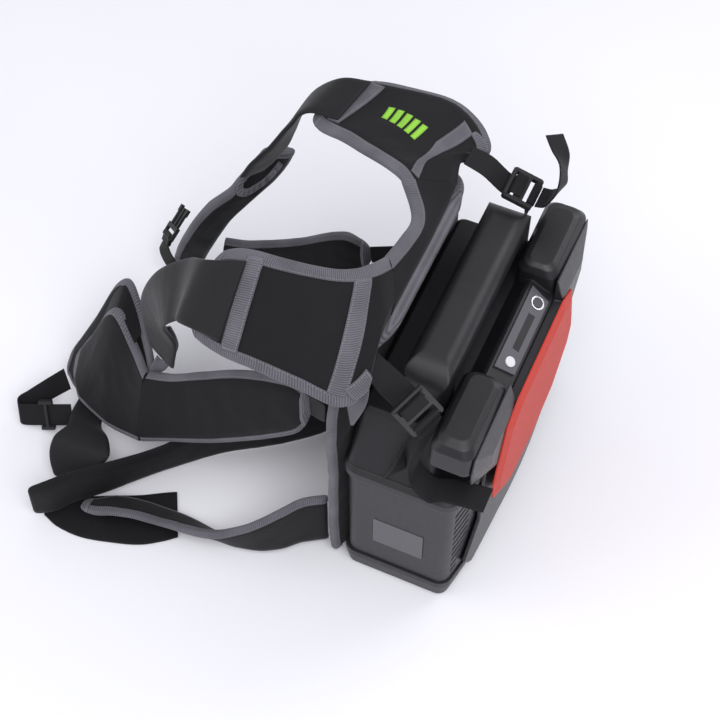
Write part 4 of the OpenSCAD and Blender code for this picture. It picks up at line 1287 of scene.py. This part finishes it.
BELT_TAIL = [
    Station((214, -308, 1.2), (228, -297, 1.2)), Station((206, -291, 1.2), (234, -279, 1.2)),
    Station((195, -274, 1.2), (235, -252, 1.2)), Station((181, -247, 1.2), (228, -221, 1.2)),
    Station((168, -219, 1.2), (218, -192, 1.2)), Station((155, -197, 1.2), (204, -171, 1.2)),
    Station((149, -186, 1.2), (195, -161, 1.2)),
]
BELT_LINK = [
    Station((98, -326, 20.6), (106, -292, 21.8)), Station((120, -322, 27), (125, -284, 27)),
    Station((141, -314, 36), (140, -266, 39)), Station((157, -320, 35), (158, -254, 43)),
    Station((169, -320, 28), (169, -258, 35)), Station((178, -316, 19), (176, -264, 21)),
    Station((186, -309, 6), (181, -277, 7)),
]
NEAR_WING_STRAP = [
    Station((112, -46.5, 226.6), (118, -42.5, 202.6)), Station((123, -33, 242), (128, -29, 218)),
    Station((133, PAD_FACE_Y - 1.2, 255), (135, PAD_FACE_Y - 1.2, 230), WEB_THICK, (1, 0.25, 0.3)),
]
FAR_WING_STRAP = [
    Station((-104, -81.7, 168), (-104, -79.8, 143)), Station((-114, -50, 175), (-115, -49, 150)),
    Station((-128, PAD_FACE_Y - 1.2, 179), (-129, PAD_FACE_Y - 1.2, 154), WEB_THICK, (-1, 0.25, 0.1)),
]
NEAR_ANCHOR = [
    web((145, 51, 205), (0.5, -0.7, -0.5)), web((140, 53, 230), (0.8, -0.2, -0.5)),
    web((130, 60, 254), (0.86, -0.35, -0.36)), web(NEAR_LOCK_AT + Vector((-3, -3, -14)), NEAR_BAR),
]
FAR_ANCHOR = [
    web((-145, 56, 205), (0.5, 0.7, 0.5)), web((-142, 60, 232), (0.7, 0.4, 0.4)),
    web((-131, 66, 262), (0.8, 0.1, 0.5)), web((-121, 71, 292), (1, 0, 0.15)),
]
NEAR_LOAD = [
    web((116, 16.8, 318.7), (0.95, 0.1, -0.28), WEB_THICK, (0.3, 0.7, -0.6)),
    web((118, 32, 307), (0.9, -0.2, -0.34)), *in_lock(NEAR_LOCK_AT, NEAR_LOCK_TURN, UNDER_LOCK),
]
FAR_LOAD = [
    web((-118, 9, 337), (1, 0, 0.1)), web((-118, 28, 331), (1, 0, 0)),
    *in_lock(FAR_LOCK_AT, FAR_LOCK_TURN, UNDER_LOCK),
]
NEAR_TAIL = [
    web(NEAR_LOCK_AT + NEAR_ARM * TAIL_START, NEAR_BAR), web((134, 74, 268), NEAR_BAR),
    web((141, 70, 244), (0.8, -0.3, -0.5)), web((145, 71, 222), (0.8, 0, -0.5)),
    web((147, 88, 206), (0.95, 0.1, -0.25)), web((139, 100, 200.5), (1, 0, -0.12)),
    web((133, 137, 199), (1, 0, -0.12)),
]
FAR_TAIL = [
    web(FAR_LOCK_AT + FAR_ARM * TAIL_START, FAR_BAR), web((-119, 89, 314), (1, 0, 0.1)),
    web((-123, 98, 330), (0.85, -0.1, 0.5)), web((-136, 94, 340), (0.6, -0.16, 0.78)),
    web((-148, 86, 346), (0.6, -0.54, 0.59)), web((-160, 75, 352), (0.75, -0.45, 0.48)),
]
LOOP = [
    web((92.6, -341, 38), (-0.35, -0.4, 0.85)), web((108, -353, 34), (-0.4, -0.3, 0.85)),
    web((127, -371, 23), (-0.45, -0.25, 0.85)), web((135, -377, 20), SLIDE_UP),
    web((140.5, -374, 18.5), SLIDE_UP), web(SLIDE_FROM, SLIDE_UP),
    web(SLIDE_FROM + SLIDE_ARM * SLIDE_REACH, SLIDE_UP),
]
BUCKLE_STRAP = [
    web((-89, -290.2, 52.6), (-0.56, 0.81, -0.16), WEB_THICK, (0, -0.33, -0.94)),
    web((-86, -303, 40), (-0.2, 0.75, 0.4)), web((-88, -315, 38), (0.1, 0.6, 0.75)),
    web((-95, -325, 49), (0.2, 0.6, 0.77)),
]


# ---------- pieces ----------

WEB = Padding(WEB_THICK, rim=0.75, rise=3.0, crown=0.0, puff=0.0, step=2.0)
FINE_WEB = replace(WEB, step=0.8)
BAR_LIFT, NEAR_PATCH_LIFT, FAR_PATCH_LIFT, RIM_LIFT, STRIPE_LIFT = 1.8, 2.2, 1.4, 1.5, 0.35

# Flat pieces on a strip: lines across them, each two points as distance along and share of the width
NEAR_REAR_BAR = [(56, 0.07, 36, 0.10), (81, 0.92, 67, 0.93)]
NEAR_FRONT_BAR = [(164, 0.05, 149, 0.04), (165, 0.93, 149, 0.92)]
FAR_REAR_BAR = [(13, 0.15, 1, 0.22), (48, 0.51, 35, 0.52), (64, 0.85, 50, 0.84)]
FAR_FRONT_BAR = [(141.5, 0.87, 128, 0.82), (136, 0.12, 118, 0.11)]
FAR_PATCH = [(51, 0.83, 27, 0.86), (52, 0.88, 34, 0.99)]
NEAR_PATCH = [(69, 0.87, 51, 0.79), (60, 0.99, 41, 0.99)]
FAR_POCKET = [
    (2, 0.02, 2, 0.16), (30, 0.01, 27, 0.12), (64, 0.01, 54, 0.09), (73, 0.12, 62, 0.17),
    (70, 0.42, 60, 0.32), (57, 0.65, 47, 0.50), (21, 0.76, 15, 0.58),
]
STRIPES = 5
STRIPE_FROM, STRIPE_STEP = 96.0, -8.6
# Both lines of a stripe, whose distances count from its own place
STRIPE_CUT = ((0, 0.375, 10, 0.547), (-5.8, 0.378, 4.5, 0.555))


@dataclass
class Harness:
    """All pads, bands, belts and webbings.

    Attributes:
        cloths: Material of each kind of cloth.
        made: The pieces so far.
    """

    cloths: dict[Cloth, bpy.types.Material]
    made: list[bpy.types.Object] = field(default_factory=list)

    def place(self, piece: bpy.types.Object, nodes: tuple[str, ...] = (), slot: str = "pad_fabric",
              body: str = ROOT, bend: tuple[Vector, Vector] | None = None) -> bpy.types.Object:
        """Puts a piece on a body and hides the solids that it replaces.

        Args:
            piece: The piece.
            nodes: Solids that it replaces.
            slot: Material slot of the piece; not used.
            body: Body that it rides on.
            bend: Two points, or None; if given, the piece stays where it is instead of riding on the body,
                and the points are not used.

        Returns:
            The same piece.
        """
        if bend:
            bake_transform(piece)
        else:
            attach(piece, body)
        if nodes:
            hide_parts(*nodes)
        self.made.append(piece)
        return piece

    def bind(self, strip: Strip, sides: tuple[int, ...] = (0, 1), ends: tuple[int, ...] = (),
             width: float = TAPE_WIDTH, start: float = 0.0) -> None:
        """Sews tape over the edges of a strip.

        Args:
            strip: The strip.
            sides: Which long edges are bound.
            ends: Which ends are bound, 0 for the first and 1 for the last.
            width: Width of the tape on each face, in millimetres.
            start: Distance at which the tape along a side begins, in millimetres.
        """
        first, last = strip.surface.ring(start), len(strip.surface.points) - 1
        tape = self.cloths[Cloth.BINDING]
        for side in sides:
            name = f"{strip.name}_binding_{'ab'[side]}"
            columns = strip.edge_columns(width, side)
            self.place(strip.tape(name, (first, last), columns, TAPE_LIFT, tape), slot="webbing")
        ring = len(strip.surface.points[0])
        for end in ends:
            rows = (0, strip.surface.ring(width)) if end == 0 else (strip.surface.ring(-width), last)
            name = f"{strip.name}_end_binding_{end}"
            self.place(strip.tape(name, rows, (0, ring), END_TAPE_LIFT, tape), slot="webbing")

    def sew(self, strip: Strip, label: str, lines: list[Line], lift: float = SEWN_LIFT,
            cloth: Cloth = Cloth.BINDING) -> None:
        """Sews a flat piece on a strip.

        Args:
            strip: The strip.
            label: Last words of its name.
            lines: Lines across it in order, each two points as distance along and share of the width.
            lift: How far it stands off the skin, in millimetres.
            cloth: Kind of cloth.
        """
        piece = strip.patch(f"{strip.name}_{label}", lines, lift, self.cloths[cloth])
        self.place(piece, slot="webbing")

    def padded(self, name: str, stations: list[Station], padding: Padding, seed: float,
               nodes: tuple[str, ...], cloth: Cloth = Cloth.PAD) -> Strip:
        """Makes one padded piece.

        Args:
            name: Name of the piece.
            stations: Lines across it.
            padding: Its cross-section.
            seed: Offset into the noise.
            nodes: Solids that it replaces.
            cloth: Kind of cloth.

        Returns:
            The strip, for what is sewn on it.
        """
        strip = Strip(name, stations, padding, seed)
        slot = "pad_fabric" if cloth is Cloth.PAD else "band_fabric"
        self.place(strip.body(self.cloths[cloth]), nodes, slot)
        return strip

    def webbing(self, name: str, stations: list[Station], nodes: tuple[str, ...], padding: Padding = WEB,
                body: str = ROOT, cloth: Cloth = Cloth.WEBBING, seed: float = 0.0,
                bend: tuple[Vector, Vector] | None = None) -> None:
        """Makes one flat webbing or tape.

        Args:
            name: Name of the piece.
            stations: Lines across it.
            nodes: Solids that it replaces.
            padding: Its cross-section.
            body: Body that it rides on.
            cloth: Kind of cloth.
            seed: Offset into the noise.
            bend: Two points, or None; if given, the piece stays where it is instead of riding on the body,
                and the points are not used.
        """
        strip = Strip(name, stations, padding, seed)
        self.place(strip.body(self.cloths[cloth]), nodes, "webbing", body, bend)

    def build(self) -> None:
        """Makes every soft piece."""
        self.back()
        self.shoulders()
        self.chest()
        self.belts()
        self.straps()

    def back(self) -> None:
        """Makes the back pad and the yoke."""
        pad = Padding(19, rim=0.30, rise=22, crown=0.0, corner=(10, 20), puff=0.9, ripple=0.7, sway=2.0)
        back = self.padded("back_cushion", BACK_PAD, pad, 1.0, ("back_pad",))
        self.bind(back, ends=(1,), width=8)
        yoke = Padding(ROOT_THICK, rim=0.5, rise=9, crown=0.1, ends=(False, False), puff=0.4)
        self.bind(self.padded("yoke_cushion", YOKE, yoke, 2.0, ("yoke",)), sides=(0,), width=12)

    def shoulders(self) -> None:
        """Makes the shoulder pads, the bands on their front ends and what is sewn on them."""
        pad = Padding(12, rim=0.36, rise=15, crown=0.12, ends=(False, True), corner=(0, 9), puff=0.7,
                      ripple=0.5)
        near = self.padded("near_shoulder_cushion", NEAR_PAD, pad, 3.0, ("near_shoulder_pad",))
        self.bind(near, sides=(0,), ends=(1,), width=11)
        self.bind(near, sides=(1,), width=11, start=58)
        self.sew(near, "rear_bar", NEAR_REAR_BAR)
        self.sew(near, "front_bar", NEAR_FRONT_BAR, BAR_LIFT)
        self.sew(near, "corner_patch", NEAR_PATCH, NEAR_PATCH_LIFT)
        fold = Padding(2.2, rim=0.75, rise=3.0, crown=0.0, puff=0.3, ripple=0.4, step=2.0)
        self.webbing("near_corner_patch", CORNER_PATCH, (), fold, cloth=Cloth.BINDING, seed=3.5)
        far = self.padded("far_shoulder_cushion", FAR_PAD, pad, 4.0, ("far_shoulder_pad",))
        self.bind(far, sides=(0,), ends=(1,), width=12)
        self.bind(far, sides=(1,), width=14, start=34)
        self.sew(far, "rear_bar", FAR_REAR_BAR)
        self.sew(far, "front_bar", FAR_FRONT_BAR, BAR_LIFT)
        self.sew(far, "corner_patch", FAR_PATCH, FAR_PATCH_LIFT)
        for i in range(STRIPES):
            at = STRIPE_FROM + i * STRIPE_STEP
            lines = [(at + a, left, at + b, right) for a, left, b, right in STRIPE_CUT]
            self.sew(far, f"stripe_{i + 1}", lines, STRIPE_LIFT, Cloth.PRINT)
        band = Padding(5, rim=0.6, rise=5, crown=0.05, puff=0.3, ripple=0.8)
        self.padded("near_band_cloth", NEAR_BAND, band, 9.0, ("near_band",), Cloth.BAND)
        self.padded("far_band_cloth", FAR_BAND, band, 10.0, ("far_band",), Cloth.BAND)

    def chest(self) -> None:
        """Makes the pads under the arms and in front of the chest."""
        wing = Padding(12, rim=0.36, rise=13, crown=0.1, ends=(True, False), corner=(9, 0), puff=0.8,
                       ripple=0.6)
        near = self.padded("near_wing_cushion", NEAR_WING, wing, 5.0, ("near_wing_pad",))
        self.bind(near, ends=(0,), width=9)
        layer = Padding(10, rim=0.55, rise=9, crown=0.1, ends=(False, True), corner=(0, 7), puff=0.8,
                        ripple=0.8)
        front = self.padded("near_chest_front", CHEST_FRONT, layer, 6.0, ("near_chest_pad",))
        self.bind(front, width=9)
        self.bind(front, sides=(), ends=(1,), width=16)
        self.bind(self.padded("near_chest_rear", CHEST_REAR, layer, 6.5, ()), ends=(1,), width=9)
        side = Padding(2.4, rim=0.8, rise=3.0, crown=0.0, puff=0.0, ripple=0.6, step=2.5)
        self.webbing("near_chest_side", CHEST_SIDE, (), side, cloth=Cloth.PAD, seed=6.7)
        rim = Padding(3.0, rim=0.8, rise=3.0, crown=0.1, puff=0.3, step=2.0)
        self.webbing("near_pocket_rim", POCKET_RIM, (), rim, cloth=Cloth.BINDING, seed=6.9)
        self.bind(self.padded("far_wing_cushion", FAR_WING, wing, 7.0, ("far_wing_pad",)), ends=(0,), width=9)
        slim = Padding(16, rim=0.36, rise=10, crown=0.1, corner=(4, 6), puff=0.8, ripple=0.8)
        far = self.padded("far_chest_cushion", FAR_CHEST, slim, 8.0, ("far_chest_pad",))
        self.bind(far, ends=(0, 1), width=8)
        far.top = -far.top  # the pocket is on the face that looks at the wearer
        self.sew(far, "pocket_rim", FAR_POCKET, RIM_LIFT)

    def belts(self) -> None:
        """Makes the two halves of the waist belt, its tail and the flap between belt and chest pad."""
        belt = Padding(9, rim=0.4, rise=9, crown=0.1, corner=(0, 6), puff=0.6, ripple=0.8)
        near = self.padded("near_belt_cushion", NEAR_BELT, belt, 11.0, ("near_belt",))
        self.bind(near, ends=(1,), width=8)
        self.padded("far_belt_cushion", FAR_BELT, belt, 12.0, ("far_belt",))
        self.webbing("belt_tail_webbing", BELT_TAIL, ("belt_tail",), seed=13.0)
        flap = Padding(4, rim=0.6, rise=4, crown=0.05, puff=0.2, ripple=0.5, step=2.0, corner=(0, 4))
        self.padded("belt_flap", BELT_LINK, flap, 14.0, ("belt_link",), Cloth.BAND)

    def straps(self) -> None:
        """Makes the straps of the adjusters."""
        self.webbing("near_wing_webbing", NEAR_WING_STRAP, ("near_wing_strap",))
        self.webbing("far_wing_webbing", FAR_WING_STRAP, ("far_wing_strap",))
        self.webbing("loop_webbing", LOOP, ("loop_strap",))
        locks = (
            ("near", NEAR_LOCK_AT, NEAR_LOCK_TURN, NEAR_ANCHOR, NEAR_LOAD, NEAR_TAIL),
            ("far", FAR_LOCK_AT, FAR_LOCK_TURN, FAR_ANCHOR, FAR_LOAD, FAR_TAIL),
        )
        for side, at, turn, anchor, load, tail in locks:
            lock = f"{side}_lock"
            bend = (load[1].middle() * MM, load[3].middle() * MM)
            self.webbing(f"{side}_load_webbing", load, (f"{side}_load_strap",), FINE_WEB, lock, bend=bend)
            self.webbing(f"{side}_tail_webbing", tail, (f"{side}_strap_tail",))
            threaded = in_lock(at, turn, THROUGH_LOCK)
            self.webbing(f"{side}_lock_webbing", threaded, (f"{side}_lock_web",), FINE_WEB, lock)
            loop = looped(anchor, at, turn, LOCK_LOOP, LOCK_LOOP_BACK)
            self.webbing(f"{side}_anchor_webbing", loop, (f"{side}_anchor_strap",), FINE_WEB)
        buckle = looped(BUCKLE_STRAP, PLUG_AT, PLUG_TURN, PLUG_LOOP, PLUG_LOOP_BACK)
        self.webbing("buckle_webbing", buckle, ("buckle_strap",), FINE_WEB)


@dataclass
class HardUnit:
    """The moulded and metal pieces, which keep their solids.

    Attributes:
        nodes: Solids of the frame by name.
        materials: Materials so far, by slot.
    """

    nodes: dict[str, bpy.types.Object]
    materials: dict[str, bpy.types.Material] = field(default_factory=dict)

    def dress(self, slots: dict[str, str], cloths: dict[Cloth, bpy.types.Material]) -> None:
        """Gives every solid its material.

        Args:
            slots: Material slot of each node.
            cloths: Material of each kind of cloth.
        """
        for name, node in self.nodes.items():
            slot = slots[name]
            if slot in HARD:
                if slot not in self.materials:
                    self.materials[slot] = hard_material(slot)
                material = self.materials[slot]
            else:
                material = cloths[Cloth.WEBBING if slot == "webbing" else Cloth.PAD]
            node.data.materials.clear()
            node.data.materials.append(material)


FLOOR_COLOURS = ((0.83, 0.83, 0.87), (0.86, 0.86, 0.90))
FLOOR_ROUGH, FLOOR_REACH, FLOOR_DROP, FLOOR_CELLS = 0.75, 6.0, 0.0004, 8
SKY_COLOUR, SKY_STRENGTH = (0.94, 0.94, 1.0, 1.0), 0.62
SENSOR_WIDTH = 36.0  # in millimetres
# Lights: name, place in metres, side in metres and power in watts
LIGHTS = (
    ("key", (0.9, 0.6, 1.9), 1.4, 26.0),
    ("fill", (0.8, -1.5, 1.3), 1.6, 10.0),
    ("rim", (-1.5, 0.9, 1.5), 1.2, 12.0),
)


@dataclass(frozen=True)
class Studio:
    """Floor, lights and camera.

    Attributes:
        target: Point that the camera looks at, in metres.
        azimuth: Turn of the view, in degrees; 0 looks along +Y.
        elevation: Height of the view above level, in degrees.
        distance: From camera to target, in metres.
        lens: Focal length for a sensor 36 mm wide, in millimetres.
    """

    target: Point = (0.0137, -0.0404, 0.150)
    azimuth: float = 114.0
    elevation: float = 56.7
    distance: float = 1.5575
    lens: float = 80.04

    def build(self) -> None:
        """Makes the whole setting."""
        self.camera()
        self.floor()
        self.lights()
        view = bpy.context.scene.view_settings
        view.view_transform = "Standard"

    def camera(self) -> None:
        """Places the camera."""
        data = bpy.data.cameras.new("camera")
        data.lens = self.lens
        data.sensor_width = SENSOR_WIDTH
        camera = bpy.data.objects.new("camera", data)
        bpy.context.scene.collection.objects.link(camera)
        a, e = math.radians(self.azimuth), math.radians(self.elevation)
        back = Vector((math.sin(a) * math.cos(e), -math.cos(a) * math.cos(e), math.sin(e)))
        camera.location = Vector(self.target) + back * self.distance
        camera.rotation_euler = back.to_track_quat("Z", "Y").to_euler()
        bpy.context.scene.camera = camera

    def floor(self) -> None:
        """Makes the pale floor."""
        s = Shader("floor_paint")
        s.dress(Base_Color=s.mix(s.speckle(FLOOR_MARKS), *FLOOR_COLOURS), Roughness=FLOOR_ROUGH)
        bm = bmesh.new()
        bmesh.ops.create_grid(bm, x_segments=FLOOR_CELLS, y_segments=FLOOR_CELLS, size=FLOOR_REACH)
        bmesh.ops.translate(bm, verts=bm.verts[:], vec=(0, 0, -FLOOR_DROP))
        new_object("floor", bm, s.material)

    def lights(self) -> None:
        """Places the soft lights and the even surroundings."""
        world = bpy.data.worlds.new("surroundings")
        world.use_nodes = True
        background = world.node_tree.nodes["Background"]
        background.inputs["Color"].default_value = SKY_COLOUR
        background.inputs["Strength"].default_value = SKY_STRENGTH
        bpy.context.scene.world = world
        for light in LIGHTS:
            self.area(*light)

    def area(self, name: str, place: Point, size: float, power: float) -> None:
        """Places one square light that faces the object.

        Args:
            name: Name of the light.
            place: Where it stands, in metres.
            size: Its side, in metres.
            power: Its power, in watts.
        """
        data = bpy.data.lights.new(name, "AREA")
        data.size = size
        data.energy = power
        light = bpy.data.objects.new(name, data)
        light.location = place
        light.rotation_euler = (Vector(place) - Vector(self.target)).to_track_quat("Z", "Y").to_euler()
        bpy.context.scene.collection.objects.link(light)


def main() -> None:
    """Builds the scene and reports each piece."""
    logging.basicConfig(level=logging.INFO)
    slots = {part["node"]: part["material_slot"] for part in frame["record"]["subparts"]}
    cloths = {kind: cloth_material(kind) for kind in Cloth}
    HardUnit(frame["nodes"]).dress(slots, cloths)
    for node, slot in slots.items():
        LOG.info("solid %s in %s", node, slot)
    harness = Harness(cloths)
    harness.build()
    for piece in harness.made:
        LOG.info("soft piece %s of %d faces", piece.name, len(piece.data.polygons))
    Studio().build()


if __name__ == "__main__":
    main()
